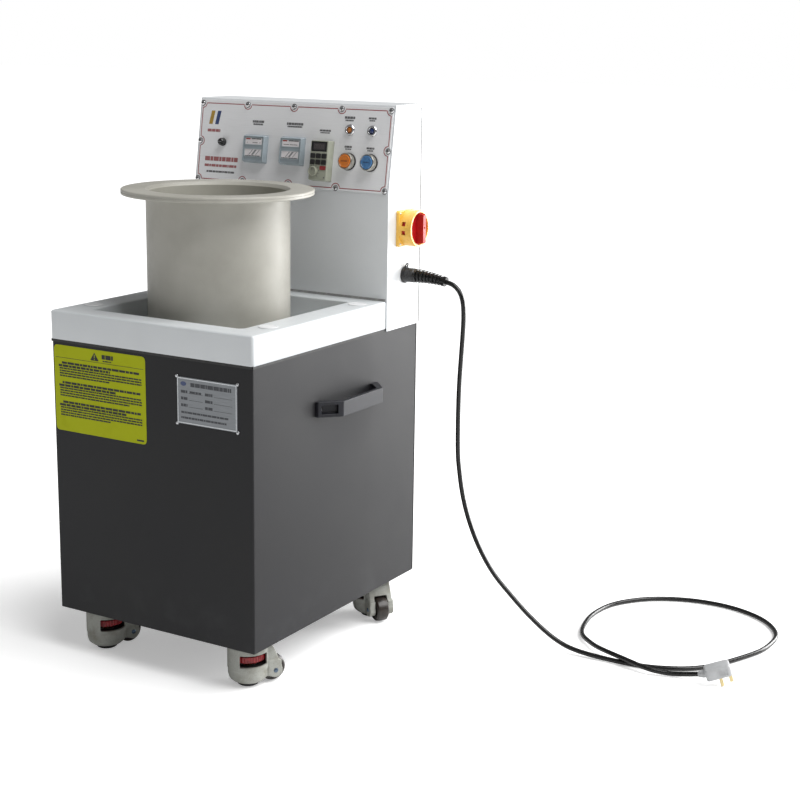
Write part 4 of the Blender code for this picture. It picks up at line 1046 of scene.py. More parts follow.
def tub():
    """Turned pot with its two-plate flange."""
    low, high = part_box("tub")
    middle = (low + high) / 2
    tall, flange = high.z - low.z, (high.x - low.x) / 2
    wall, bore = 0.1307, 0.1257
    outline = [(0.0002, 0.0060), (bore - 0.010, 0.0060), (bore, 0.0140), (bore, tall - 0.0062),
               (bore + 0.0055, tall), (flange - 0.0014, tall), (flange, tall - 0.0014),
               (flange, tall - 0.0046), (flange - 0.0007, tall - 0.0049), (flange, tall - 0.0052),
               (flange, tall - 0.0090), (flange - 0.0010, tall - 0.0100),
               (wall + 0.0040, tall - 0.0100), (wall, tall - 0.0140), (wall, 0.0035),
               (wall - 0.0035, 0.0), (0.0002, 0.0)]
    radii = [0, 0.006, 0.006, 0.0015, 0.0015, 0.0010, 0.0010, 0.0003, 0, 0.0003, 0.0008, 0.0008,
             0.002, 0.002, 0.002, 0.002, 0]
    add_piece("turned_tub", turn_solid(round_corners(outline, radii, 4), 160), tub_plastic(),
              "tub", Matrix.Translation((middle.x, middle.y, low.z)), "tub_body", ("tub",),
              sharp=50)


tub()


# ---- console -----------------------------------------------------------------------------------
# A bent and welded 2 mm sheet box with a leaning face, open behind, in the tray's enamel. A flat
# cover is screwed into its back, and a bead of sealant runs along its foot where it meets the tray.
def console():
    """Shell as bent walls with real thickness, rear cover, louvres, screws and the foot bead."""
    low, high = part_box("console_shell")
    half, sheet = (high.x - low.x) / 2, 0.002
    front, back, top = low.y, high.y, high.z
    rise = top - PANEL_FOOT.z
    lean = front + rise * tan(PANEL_TILT)
    outline = [(front, low.z), (front, PANEL_FOOT.z), (lean, top), (back, top), (back, low.z)]
    slip = sheet / cos(PANEL_TILT)
    inner_knee = PANEL_FOOT.z + (sheet - slip) / tan(PANEL_TILT)
    inner = [(front + sheet, low.z - 0.02), (front + sheet, inner_knee),
             (front + slip + (top - sheet - PANEL_FOOT.z) * tan(PANEL_TILT), top - sheet),
             (back + 0.02, top - sheet), (back + 0.02, low.z - 0.02)]
    bends = [0, 0.012, 0.0035, 0, 0]
    shell = place_mesh("bent_console", slab(round_corners(outline, bends, 5), -half, half, "YZ"))
    window = block((-0.206, 0.020, -0.01), (0.206, 0.148, 0.01))
    bmesh.ops.transform(window, matrix=PANEL_FACE_AT_ZERO, verts=window.verts)
    foot = block((-half + sheet, front - 0.01, low.z - 0.01),
                 (half - sheet, front + 0.01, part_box("cabinet_shell")[1].z + 0.0006))
    carve(shell, [slab(inner, -half + sheet, half - sheet, "YZ"), foot, window])
    shell.data.transform(Matrix.Translation((-MACHINE_SHIFT, 0, 0)))
    set_smooth(shell, 35)
    round_edges(shell, 0.0014, 3, 45)
    paint = enamel("console_enamel", (0.75, 0.77, 0.785))
    finish_piece(shell, paint, "frame", ("console_shell",))

    sealant = rubber("sealant_grey", 0.20, 0.55)
    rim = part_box("top_tray")[1].z
    bead = [(front + 0.0012, rim), (front - 0.0030, rim), (front - 0.0022, rim + 0.0020),
            (front - 0.0004, rim + 0.0040), (front + 0.0012, rim + 0.0042)]
    strip = slab(bead, -half + 0.004, half - 0.004, "YZ")
    to_middle = Matrix.Translation((-MACHINE_SHIFT, 0, 0))
    add_piece("foot_bead", strip, sealant, "console_shell", to_middle)

    # Painted shadow: a thin black strip down each rear side edge stands for the shaded joint
    # between shell and cover.
    seam = bmesh.new()
    for side in (-1, 1):
        edge = side * (half + 0.0003)
        block((min(edge, edge - side * 0.001), back - 0.0022, low.z + 0.003),
              (max(edge, edge - side * 0.001), back + 0.0001, top - 0.004), seam)
    add_piece("cover_seam", seam, rubber("seam_shadow", 0.02, 0.6), "console_shell", to_middle,
              tidy=False)

    low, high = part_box("console_rear_cover")
    cover = round_edges(place_mesh("screwed_cover", block(low, high)), 0.0005)
    finish_piece(cover, paint, "frame", ("console_rear_cover",))
    rows = on_faces((0, 1, 0), [(x, high.y, z) for x in (-0.11, 0.11)
                                for z in (0.72, 0.74, 0.76, 0.78, 0.90, 0.92)])
    set_copies("cover_louvres", louvre_blade(), rows, paint, "frame")
    spots = on_faces((0, 1, 0), [(x, high.y, z) for x in (-0.213, 0.0, 0.213)
                                 for z in (0.612, 0.80, 1.004) if x or z != 0.80])
    set_copies("cover_screws", pan_screw(0.0042, 0.0024), spots, bright_screw, "frame",
               spin=2 * pi)


PANEL_TILT = atan2(0.0252, 0.1663)
PANEL_FOOT = Vector((-MACHINE_SHIFT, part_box("console_shell")[0].y, 0.8510))
PANEL_FACE = Matrix.Translation(PANEL_FOOT) @ Matrix.Rotation(pi / 2 - PANEL_TILT, 4, "X")
PANEL_FACE_AT_ZERO = Matrix.Translation((MACHINE_SHIFT, 0, 0)) @ PANEL_FACE

console()


# ---- control panel -----------------------------------------------------------------------------
# A 2 mm aluminium plate with a matt silver overlay, held by twelve chromed dome screws. The overlay
# carries a dark-red border line that dips round each screw, and rows of small captions.
PANEL_TOP = 0.0023
TIMERS, TIMER_ROW = {"left": -0.081, "right": 0.006}, 0.072
LAMPS, LAMP_ROW = {"running_lamp": 0.1315, "power_lamp": 0.181}, 0.118
BUTTONS, BUTTON_ROW = {"start": 0.1335, "stop": 0.182}, 0.059
FUSE = (-0.1625, 0.082)


def panel_plate():
    """The plate's finish, the border, captions and screws."""
    silver = Finish("silver_overlay", Specular_IOR_Level=0.5)
    grain = silver.node("ShaderNodeTexNoise", Vector=silver.stretched((30, 1200, 1500)), Scale=1.0,
                        Detail=4.0)
    silver.surface(Base_Color=silver.mix(silver.remap(grain, 0.3, 0.7), (0.84, 0.845, 0.86),
                                         (0.89, 0.895, 0.91)),
                   Roughness=silver.remap(grain, 0.3, 0.7, 0.36, 0.46))
    silver.bump(grain, 0.00006, 0.3)
    low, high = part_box("control_panel")
    half = (high.x - low.x) / 2
    outline = round_corners(oblong(-half, 0.004, half, 0.1642), 0.003, 4)
    plate = place_mesh("panel_plate", slab(outline, 0.0003, 0.0023))
    cuts = [block((u - 0.0223, 0.0497, -0.01), (u + 0.0223, 0.0943, 0.01))
            for u in TIMERS.values()]
    cuts.append(block((0.0597, 0.0217, -0.01), (0.0953, 0.0923, 0.01)))
    bores = [(u, LAMP_ROW, 0.0083) for u in LAMPS.values()]
    bores += [(u, BUTTON_ROW, 0.0113) for u in BUTTONS.values()]
    for u, v, r in [*bores, (*FUSE, 0.0063)]:
        hole = turn_solid([(r, -0.01), (r, 0.01)], 32)
        bmesh.ops.translate(hole, vec=(u, v, 0), verts=hole.verts)
        cuts.append(hole)
    carve(plate, cuts)
    plate.data.transform(PANEL_FACE)
    set_smooth(plate, 35)
    round_edges(plate, 0.0006, 2, 40)
    finish_piece(plate, silver, "frame", ("control_panel",))

    columns, mid = [k * 0.1092 for k in (-2, -1, 0, 1, 2)], 0.0825
    rows = (0.0081, 0.1569)
    spots = [(u, v) for u in columns for v in rows] + [(columns[0], mid), (columns[-1], mid)]
    out = (PANEL_FACE.to_3x3() @ Vector((0, 0, 1))).normalized()
    dome = turn_solid([(0.0001, 0.0), (0.0049, 0.0), (0.0050, 0.0008), (0.0044, 0.0022),
                       (0.0032, 0.0030), (0.0024, 0.0032), (0.0022, 0.0016), (0.0001, 0.0014)], 28)
    chrome = metal("chrome", (0.80, 0.80, 0.81), 0.14, (0.66, 0.66, 0.67))
    set_copies("panel_screws", dome,
               [(PANEL_FACE @ Vector((u, v, PANEL_TOP)), out) for u, v in spots], chrome,
               "frame")

    line, dip, wide = [], 0.0090, 0.0008
    left, right, (foot, head) = columns[0], columns[-1], rows

    def notch(u, v, start, stop):
        """A quarter or half turn of the border round one screw."""
        return [(u + dip * cos(radians(a)), v + dip * sin(radians(a)))
                for a in [start + (stop - start) * k / 10 for k in range(11)]]

    for i, u in enumerate(columns):
        line += notch(u, foot, 90 if i == 0 else 180, 0 if i < 4 else 90)
    line += notch(right, mid, 270, 90)
    for i, u in enumerate(reversed(columns)):
        line += notch(u, head, 270 if i == 0 else 360, 180 if i < 4 else 270)
    line += notch(left, mid, 90, -90)
    red = ink("border_red", (0.32, 0.045, 0.050))
    count = len(line)
    sides = []
    for i, here in enumerate(line):
        ahead = Vector(line[(i + 1) % count]) - Vector(line[i - 1])
        across = Vector((-ahead.y, ahead.x)).normalized() * wide
        sides.append([(here[0] + across.x * s, here[1] + across.y * s, PANEL_TOP + lift)
                      for s, lift in ((1, 0), (1, INK_FILM), (-1, INK_FILM), (-1, 0))])
    add_piece("border_line", skin(bmesh.new(), sides, close=True), red, "control_panel",
              PANEL_FACE)

    dice = random.Random(3)
    black = ink("caption_black", (0.12, 0.12, 0.125))
    maroon = ink("caption_red", (0.36, 0.13, 0.13))
    bars = []
    # Painted shadow: a flat black ring round each screw head, and painted shade in each head's
    # recess as a black hexagon for its socket.
    sockets = bmesh.new()
    for u, v in spots:
        for radius, sides, low, high in ((0.0021, 6, 0.0014, 0.0019), (0.0058, 28, 0.0, 0.0003)):
            skin(sockets, [[(u + x, v + y, PANEL_TOP + z) for x, y, _ in ring(radius, 0, sides)]
                           for z in (low, high)])
    add_piece("panel_screw_sockets", sockets, black, "control_panel", PANEL_FACE)
    for u0, u1, v0, v1 in ((-0.095, -0.068, 0.1185, 0.1275), (-0.014, 0.024, 0.1175, 0.1265),
                           (0.063, 0.088, 0.1095, 0.1165), (0.117, 0.140, 0.1345, 0.1435),
                           (0.170, 0.187, 0.1362, 0.1435), (0.122, 0.139, 0.0812, 0.0885),
                           (0.171, 0.188, 0.0805, 0.0878)):
        step = (v1 - v0) * 0.42
        bars += print_row(dice, u0, u1, v0 + step + 0.0006, v1, 0.0011)
        bars += print_row(dice, u0 + 0.002, u1 - 0.002, v0, v0 + step - 0.0008, 0.0008)
    bars += print_row(dice, -0.198, -0.130, 0.0212, 0.0250, 0.0016)
    print_bars("panel_captions", bars, PANEL_FACE, black, "frame", "control_panel",
               lift=PANEL_TOP)
    bars = print_row(dice, -0.204, -0.124, 0.0440, 0.0525, 0.0021)
    bars += print_row(dice, -0.204, -0.126, 0.0325, 0.0375, 0.0019)
    bars += print_row(dice, -0.203, -0.172, 0.1010, 0.1065, 0.0016)
    print_bars("panel_notes", bars, PANEL_FACE, maroon, "frame", "control_panel",
               lift=PANEL_TOP)
    for k, tint in enumerate((ink("emblem_ochre", (0.42, 0.26, 0.04)),
                              ink("emblem_slate", (0.035, 0.06, 0.17)))):
        u = -0.2010 + 0.0150 * k
        stripe = [(u, 0.1160), (u + 0.0085, 0.1160), (u + 0.0135, 0.1425), (u + 0.0050, 0.1425)]
        add_piece(f"panel_emblem_{k}", slab(stripe, PANEL_TOP, PANEL_TOP + INK_FILM), tint,
                  "control_panel", PANEL_FACE)
    return chrome, black


chrome, caption_black = panel_plate()


# ---- timers ------------------------------------------------------------------------------------
# Two 48 mm square plug-in timers in grey polycarbonate: a sloping bezel round a recessed face with
# an upper and a lower window, each behind a clear pane.
def clear_grey(name, colour, roughness):
    """Moulded polycarbonate with a soft sheen."""
    finish = Finish(name, Specular_IOR_Level=0.55, Coat_Roughness=0.15)
    cloud = finish.remap(finish.noise(50, 3), 0.35, 0.7)
    finish.surface(Base_Color=finish.mix(cloud, colour, tuple(c * 0.85 for c in colour)),
                   Roughness=finish.remap(cloud, 0, 1, roughness, roughness + 0.1),
                   Coat_Weight=finish.remap(cloud, 0, 1, 0.25, 0.1))
    return finish.bump(finish.noise(1500, 2), 0.00008, 0.3)


def timers():
    """Bezel, face, windows, panes, printed marks and painted pane reflections of both timers."""
    body = clear_grey("timer_grey", (0.36, 0.42, 0.46), 0.36)
    face = clear_grey("timer_face", (0.44, 0.50, 0.53), 0.30)
    dark = clear_grey("timer_window", (0.90, 0.86, 0.88), 0.10)
    red = ink("timer_red", (0.42, 0.04, 0.03))
    dice = random.Random(21)
    for side, u in TIMERS.items():
        loops = [rounded_rect(size, size, corner, z, (u, TIMER_ROW), 4) for size, corner, z in
                 ((0.0440, 0.0010, -0.060), (0.0440, 0.0010, 0.0026), (0.0540, 0.0020, 0.0026),
                  (0.0540, 0.0020, 0.0050), (0.0530, 0.0018, 0.0058), (0.0490, 0.0020, 0.0135),
                  (0.0478, 0.0018, 0.0145), (0.0446, 0.0016, 0.0145), (0.0440, 0.0014, 0.0128))]
        add_piece(f"timer_bezel_{side}", skin(bmesh.new(), loops), body, "timer", PANEL_FACE,
                  stands_for=(f"timer_{side}",))
        panels, panes = bmesh.new(), bmesh.new()
        for v0, v1 in ((0.0790, 0.0935), (0.0560, 0.0722)):
            frame_loops = [[(a, b, z) for a, b in round_corners(
                oblong(u - 0.0208 + g, v0 + g, u + 0.0208 - g, v1 - g), 0.0010, 2)]
                for g, z in ((0, 0.0125), (0, 0.0138), (0.0010, 0.0138), (0.0014, 0.0125))]
            skin(panels, frame_loops, close=True)
            block((u - 0.0196, v0 + 0.0012, 0.0127), (u + 0.0196, v1 - 0.0012, 0.0131), panes)
        add_piece(f"timer_frames_{side}", panels, face, "timer", PANEL_FACE)
        add_piece(f"timer_panes_{side}", panes, dark, "timer", PANEL_FACE, tidy=False)
        bars = print_row(dice, u - 0.005, u + 0.018, 0.0900, 0.0920, 0.0010)
        bars += print_row(dice, u - 0.016, u + 0.016, 0.0830, 0.0842, 0.0008, drop=0.3)
        bars += print_row(dice, u - 0.019, u + 0.018, 0.0572, 0.0588, 0.0010)
        # Painted reflection: three dark diagonal bands across the lower window stand for a
        # reflection on its pane.
        reflection_bands = bmesh.new()
        for a, w in ((u - 0.0105, 0.0016), (u - 0.0040, 0.0042), (u + 0.0060, 0.0012)):
            slab([(a, 0.0600), (a + w, 0.0600), (a + w + 0.0085, 0.0700), (a + 0.0085, 0.0700)],
                 0.0131, 0.01322, shape=reflection_bands)
        add_piece(f"timer_scale_{side}", reflection_bands, ink(f"timer_scale_ink_{side}", (0.20, 0.21, 0.22)),
                  "timer", PANEL_FACE)
        print_bars(f"timer_marks_{side}", bars, PANEL_FACE,
                   ink(f"timer_ink_{side}", (0.10, 0.105, 0.11)), "frame", "timer",
                   lift=0.0131)
        print_bars(f"timer_lamp_{side}", [(u - 0.0185, 0.0895, u - 0.0085, 0.0918)], PANEL_FACE,
                   red, "frame", "timer", lift=0.0131)


timers()


# ---- speed controller --------------------------------------------------------------------------
# The inverter's keypad in greenish-grey plastic stands 18 mm proud: a dark display, six rubber
# keys, a turned dial with a pointer and a red stop key in its own pocket.
DIAL, STOP_KEY = (0.068, 0.036), (0.0882, 0.043)


def keypad():
    """Keypad case with its pocket, display, keys, dial scale, dial and stop key."""
    case = clear_grey("keypad_case", (0.40, 0.415, 0.335), 0.42)
    glass = Finish("display_glass", Specular_IOR_Level=0.6)
    glass.surface(Base_Color=glass.mix(glass.remap(glass.noise(60), 0.3, 0.7),
                                       (0.008, 0.009, 0.010), (0.018, 0.018, 0.019)),
                  Roughness=glass.remap(glass.noise(200), 0.3, 0.7, 0.08, 0.16))
    key = rubber("key_rubber", 0.012, 0.4)
    seat, top, at = 0.0026, 0.0206, (0.0775, 0.057)
    loops = [rounded_rect(width, depth, corner, z, at, 4) for width, depth, corner, z in
             ((0.0355, 0.0700, 0.001, -0.005), (0.0355, 0.0700, 0.001, seat),
              (0.0425, 0.0770, 0.002, seat), (0.0422, 0.0767, 0.002, seat + 0.003),
              (0.0400, 0.0745, 0.0024, top - 0.0012), (0.0380, 0.0725, 0.0018, top))]
    made = place_mesh("keypad_case", skin(bmesh.new(), loops))
    u, v = STOP_KEY
    pocket = block((u - 0.0068, v - 0.00405, top - 0.0022), (u + 0.0068, v + 0.00405, 0.05))
    screen = block((0.0576 + 0.0016, 0.0735, top - 0.0008), (0.0960 - 0.0016, 0.0925, 0.05))
    carve(made, [pocket, screen])
    made.data.transform(PANEL_FACE)
    set_smooth(made, 30)
    round_edges(made, 0.0003, 1, 50)
    finish_piece(made, case, "frame", ("inverter_keypad",))

    pane = round_corners(oblong(0.0594, 0.0737, 0.0942, 0.0923), 0.0012, 3)
    add_piece("keypad_display", slab(pane, top - 0.0007, top - 0.0001), glass, "keypad",
              PANEL_FACE)
    inner = oblong(0.0640, 0.0768, 0.0905, 0.0893)
    add_piece("keypad_screen", slab(inner, top - 0.0001, top + 0.00005),
              ink("display_segment", (0.055, 0.050, 0.050), 0.2), "keypad", PANEL_FACE)
    digits = []
    for k in range(4):
        u = 0.0668 + 0.0056 * k
        digits += [(u, 0.0795, u + 0.0006, 0.0868), (u + 0.0032, 0.0795, u + 0.0038, 0.0868),
                   (u, 0.0862, u + 0.0038, 0.0868), (u, 0.0795, u + 0.0038, 0.0801)]
    print_bars("keypad_digits", digits, PANEL_FACE, ink("digit_grey", (0.13, 0.11, 0.11)), "frame",
               "keypad", lift=top + 0.00005)
    keys = bmesh.new()
    for u in (0.0645, 0.0772, 0.0899):
        for v in (0.0654, 0.0535):
            pads = [rounded_rect(0.0108 - g, 0.0092 - g, 0.0014, z, (u, v), 3)
                    for g, z in ((0, top - 0.0004), (0, top + 0.0012), (0.0008, top + 0.0018))]
            skin(keys, pads)
    add_piece("keypad_keys", keys, key, "keypad", PANEL_FACE)
    bars = [(0.0912, 0.0236, 0.0940, 0.0264), (0.0602, 0.0940, 0.0616, 0.0932)]
    bars += [(0.0818 + 0.0026 * k, 0.0497, 0.0836 + 0.0026 * k, 0.0505) for k in range(5)]
    print_bars("keypad_marks", bars, PANEL_FACE, caption_black, "frame", "keypad", lift=top)
    scale = bmesh.new()
    dial_at = Matrix.Translation((*DIAL, 0))
    for k in range(11):
        tick = block((0.0106, -0.0005, top), (0.0132 + 0.0008 * (k % 5 == 0), 0.0005,
                                              top + 0.0001))
        join_in(scale, tick, dial_at @ Matrix.Rotation(radians(225 - 27 * k), 4, "Z"))
    outside = [v for v in scale.verts if v.co.x <= 0.0585]
    bmesh.ops.delete(scale, geom=outside, context="VERTS")
    add_piece("dial_scale", scale, caption_black, "keypad", PANEL_FACE, tidy=False)

    knob_at = PANEL_FACE @ Matrix.Translation((*DIAL, top + 0.0003))
    sides = [ring(r, z, 96, ripple, 24) for r, z, ripple in
             ((0.0092, 0.0, 0.0003), (0.0092, 0.0042, 0.0003), (0.0086, 0.0052, 0.0002),
              (0.0076, 0.0055, 0.0), (0.0070, 0.0045, 0.0), (0.0004, 0.0045, 0.0))]
    add_piece("dial_knob", skin(bmesh.new(), sides),
              clear_grey("dial_grey", (0.33, 0.34, 0.27), 0.4), "speed_knob", knob_at,
              "speed_dial", ("speed_knob",))
    add_piece("dial_pointer", block((-0.0005, 0.0010, 0.0045), (0.0005, 0.0068, 0.0053)),
              caption_black, "speed_knob", knob_at, "speed_dial")
    stop = [rounded_rect(0.0130 - g, 0.0075 - g, 0.0010, z, STOP_KEY, 4)
            for g, z in ((0, top - 0.0022 + 0.0011), (0, top + 0.0005), (0.0008, top + 0.0011))]
    add_piece("stop_key_pad", skin(bmesh.new(), stop),
              nylon("stop_red", (0.33, 0.035, 0.04), (0.26, 0.03, 0.03), 0.4), "stop_key",
              PANEL_FACE, "stop_key_cap", ("stop_key",))


keypad()


# ---- lamps, buttons and fuse -------------------------------------------------------------------
# Two pilot lamps with chromed bezels and domed lenses, two spring push buttons whose caps travel
# in satin bezels over black rubber rings, and a black screw-cap fuse holder.
def panel_seat(u, v):
    """The panel's frame moved to one device."""
    return PANEL_FACE @ Matrix.Translation((u, v, 0))


def lens(name, colour, deep):
    """Tinted translucent plastic that lights up a little inside."""
    finish = Finish(name, Specular_IOR_Level=0.7, Coat_Roughness=0.05)
    glow = finish.remap(finish.noise(260, 2), 0.3, 0.7)
    finish.surface(Base_Color=finish.mix(glow, colour, deep),
                   Roughness=finish.remap(glow, 0, 1, 0.10, 0.22),
                   Coat_Weight=finish.remap(glow, 0, 1, 0.9, 0.6))
    return finish


def lamps_and_buttons():
    """Turned bezels, lenses, caps and seals, each on the panel's face."""
    amber = lens("amber_lens", (0.52, 0.17, 0.006), (0.36, 0.09, 0.004))
    blue = lens("blue_lens", (0.010, 0.035, 0.16), (0.006, 0.018, 0.09))
    seal = rubber("button_seal", 0.012, 0.55)
    satin = metal("satin_bezel", (0.66, 0.64, 0.58), 0.28, (0.56, 0.54, 0.48))
    for (node, u), glass in zip(LAMPS.items(), (amber, blue)):
        bezel = soften([(0.0080, -0.038), (0.0080, 0.0026), (0.0105, 0.0026), (0.0105, 0.0050),
                        (0.0092, 0.0068), (0.0066, 0.0070), (0.0054, 0.0052), (0.0050, 0.0040),
                        (0.0002, 0.0040)], 0.0006)
        bezel[0] = (0.0080, -0.038)
        seat, slot = panel_seat(u, LAMP_ROW), "lamp_amber" if glass is amber else "lamp_blue"
        add_piece(f"{node}_bezel", turn_solid(bezel, 56), chrome, slot, seat, stands_for=(node,))
        dome = [(0.0049, 0.0041), (0.0049, 0.0050), (0.0043, 0.0064), (0.0030, 0.0073),
                (0.0015, 0.0077), (0.0002, 0.0078)]
        add_piece(f"{node}_lens", turn_solid(dome, 40), glass, slot, seat)
    caps = {"start": ((0.80, 0.235, 0.020), (0.62, 0.16, 0.014), "cap_orange"),
            "stop": ((0.075, 0.225, 0.46), (0.05, 0.16, 0.36), "cap_blue")}
    for name, (colour, deep, slot) in caps.items():
        seat = panel_seat(BUTTONS[name], BUTTON_ROW)
        outer = soften([(0.0129, 0.0075), (0.0129, 0.0160), (0.0140, 0.0170), (0.0151, 0.0166),
                        (0.0155, 0.0150), (0.0155, 0.0060), (0.0149, 0.0048), (0.0110, 0.0048),
                        (0.0110, -0.045)], 0.0005)
        add_piece(f"{name}_bezel_ring", turn_solid(outer, 72), satin, "button_bezel", seat,
                  stands_for=(f"{name}_button_bezel",))
        ring_seal = turn_solid([(0.0112, 0.0026), (0.0165, 0.0026), (0.0166, 0.0040),
                                (0.0158, 0.0048), (0.0112, 0.0048)], 64, bore=True)
        add_piece(f"{name}_seal", ring_seal, seal, "button_bezel", seat)
        low = 0.0128
        face = [(0.0124, low), (0.0124, low + 0.0046), (0.0119, low + 0.0056),
                (0.0108, low + 0.0058), (0.0104, low + 0.0053), (0.0096, low + 0.0052),
                (0.0050, low + 0.0055), (0.0002, low + 0.0056)]
        add_piece(f"{name}_cap_face", turn_solid(face, 64),
                  lens(f"{name}_cap_plastic", colour, deep), slot, seat, f"{name}_cap",
                  (f"{name}_button_cap",))
        marks = bmesh.new()
        for k, tall in enumerate((0.0022, 0.0026, 0.0020, 0.0026, 0.0022, 0.0024)):
            block((-0.0066 + 0.0023 * k, -tall / 2, low + 0.0054),
                  (-0.0052 + 0.0023 * k, tall / 2, low + 0.0058), marks)
        add_piece(f"{name}_cap_marks", marks, ink(f"{name}_mark", tuple(0.3 * c for c in deep)),
                  slot, seat, f"{name}_cap")

    black = rubber("fuse_bakelite", 0.012, 0.28)
    body = soften([(0.0060, -0.035), (0.0060, 0.0026), (0.0080, 0.0026), (0.0080, 0.0048),
                   (0.0072, 0.0056), (0.0070, 0.0110), (0.0050, 0.0142), (0.0002, 0.0150)], 0.0007)
    seat = panel_seat(*FUSE)
    add_piece("fuse_cap", turn_solid(body, 48), black, "fuse", seat, stands_for=("fuse_holder",))
    add_piece("fuse_slot", block((-0.0042, -0.0005, 0.0150), (0.0042, 0.0005, 0.0153)),
              bright_screw, "fuse", seat)


lamps_and_buttons()


# ---- isolator ----------------------------------------------------------------------------------
# Rotary mains isolator on the console's right side: a moulded yellow plate with a round slotted
# shroud, and a red dial with a full-width grip bar that takes a padlock.
def gloss(name, colour, deep, roughness=0.24):
    """Glossy moulded plastic."""
    finish = Finish(name, Specular_IOR_Level=0.55)
    flow = finish.remap(finish.noise(75, 4), 0.35, 0.7)
    finish.surface(Base_Color=finish.mix(flow, colour, deep),
                   Roughness=finish.remap(flow, 0, 1, roughness, roughness + 0.12))
    return finish.bump(finish.noise(1700, 2), 0.00007, 0.3)


def isolator():
    """Plate and shroud, the red dial inside its lip, and the plate's screws."""
    low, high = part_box("isolator_plate")
    seat = (Matrix.Translation((low.x - 0.0003, (low.y + high.y) / 2, (low.z + high.z) / 2)) @
            Euler((pi / 2, 0, pi / 2)).to_matrix().to_4x4())
    yellow = gloss("isolator_yellow", (0.93, 0.56, 0.10), (0.88, 0.50, 0.07))
    red = gloss("isolator_red", (0.50, 0.004, 0.006), (0.40, 0.003, 0.005), 0.42)
    loops = [rounded_rect(size, size, corner, z) for size, corner, z in
             ((0.068, 0.0050, 0.0003), (0.068, 0.0050, 0.0052), (0.0672, 0.0048, 0.0060),
              (0.0660, 0.0045, 0.0063))]
    plate = place_mesh("isolator_base", skin(bmesh.new(), loops))
    shroud = turn_solid([(0.0343, 0.0050), (0.0343, 0.0240), (0.0350, 0.0250), (0.0350, 0.0322),
                         (0.0346, 0.0328), (0.0312, 0.0328), (0.0308, 0.0322), (0.0308, 0.0050)],
                        96, bore=True)
    carve(plate, [shroud], "UNION")
    slots = []
    for angle in (162, 191, 342, 11):
        tool = block((0.0300, -0.0042, 0.0112), (0.0360, 0.0042, 0.0196))
        bmesh.ops.transform(tool, verts=tool.verts, matrix=Matrix.Rotation(radians(angle), 4, "Z"))
        slots.append(tool)
    slots.append(turn_solid([(0.0102, -0.01), (0.0102, 0.02)], 32))
    carve(plate, slots)
    plate.data.transform(seat)
    set_smooth(plate, 30)
    finish_piece(plate, yellow, "frame", ("isolator_plate",))

    dial = soften([(0.0100, 0.0020), (0.0100, 0.0078), (0.0305, 0.0078), (0.0305, 0.0282),
                   (0.0298, 0.0290), (0.0290, 0.0290), (0.0280, 0.0270), (0.0002, 0.0264)], 0.0007)
    knob = place_mesh("isolator_dial_face", turn_solid(dial, 96))
    bar = [(-0.0280, 0.0260), (0.0280, 0.0260), (0.0280, 0.0395), (0.0262, 0.0428),
           (-0.0262, 0.0428), (-0.0280, 0.0395)]
    grip = slab(round_corners(bar, 0.0020, 3), -0.0048, 0.0048, "YZ")
    carve(knob, [grip], "UNION")
    pit = turn_solid([(0.0021, 0.0350), (0.0021, 0.0500)], 24)
    bmesh.ops.translate(pit, verts=pit.verts, vec=(0, 0.002, 0))
    carve(knob, [pit])
    knob.data.transform(seat)
    set_smooth(knob, 30)
    round_edges(knob, 0.0008, 2, 55)
    finish_piece(knob, red, "isolator_dial", ("isolator_knob",))
    out = Vector((1, 0, 0))
    spots = [(seat @ Vector((a * 0.0285, b * 0.0285, 0.0063)), out) for a in (-1, 1)
             for b in (-1, 1)]
    set_copies("isolator_screws", pan_screw(0.0022, 0.0012), spots, bright_screw, "frame",
               spin=pi)


isolator()


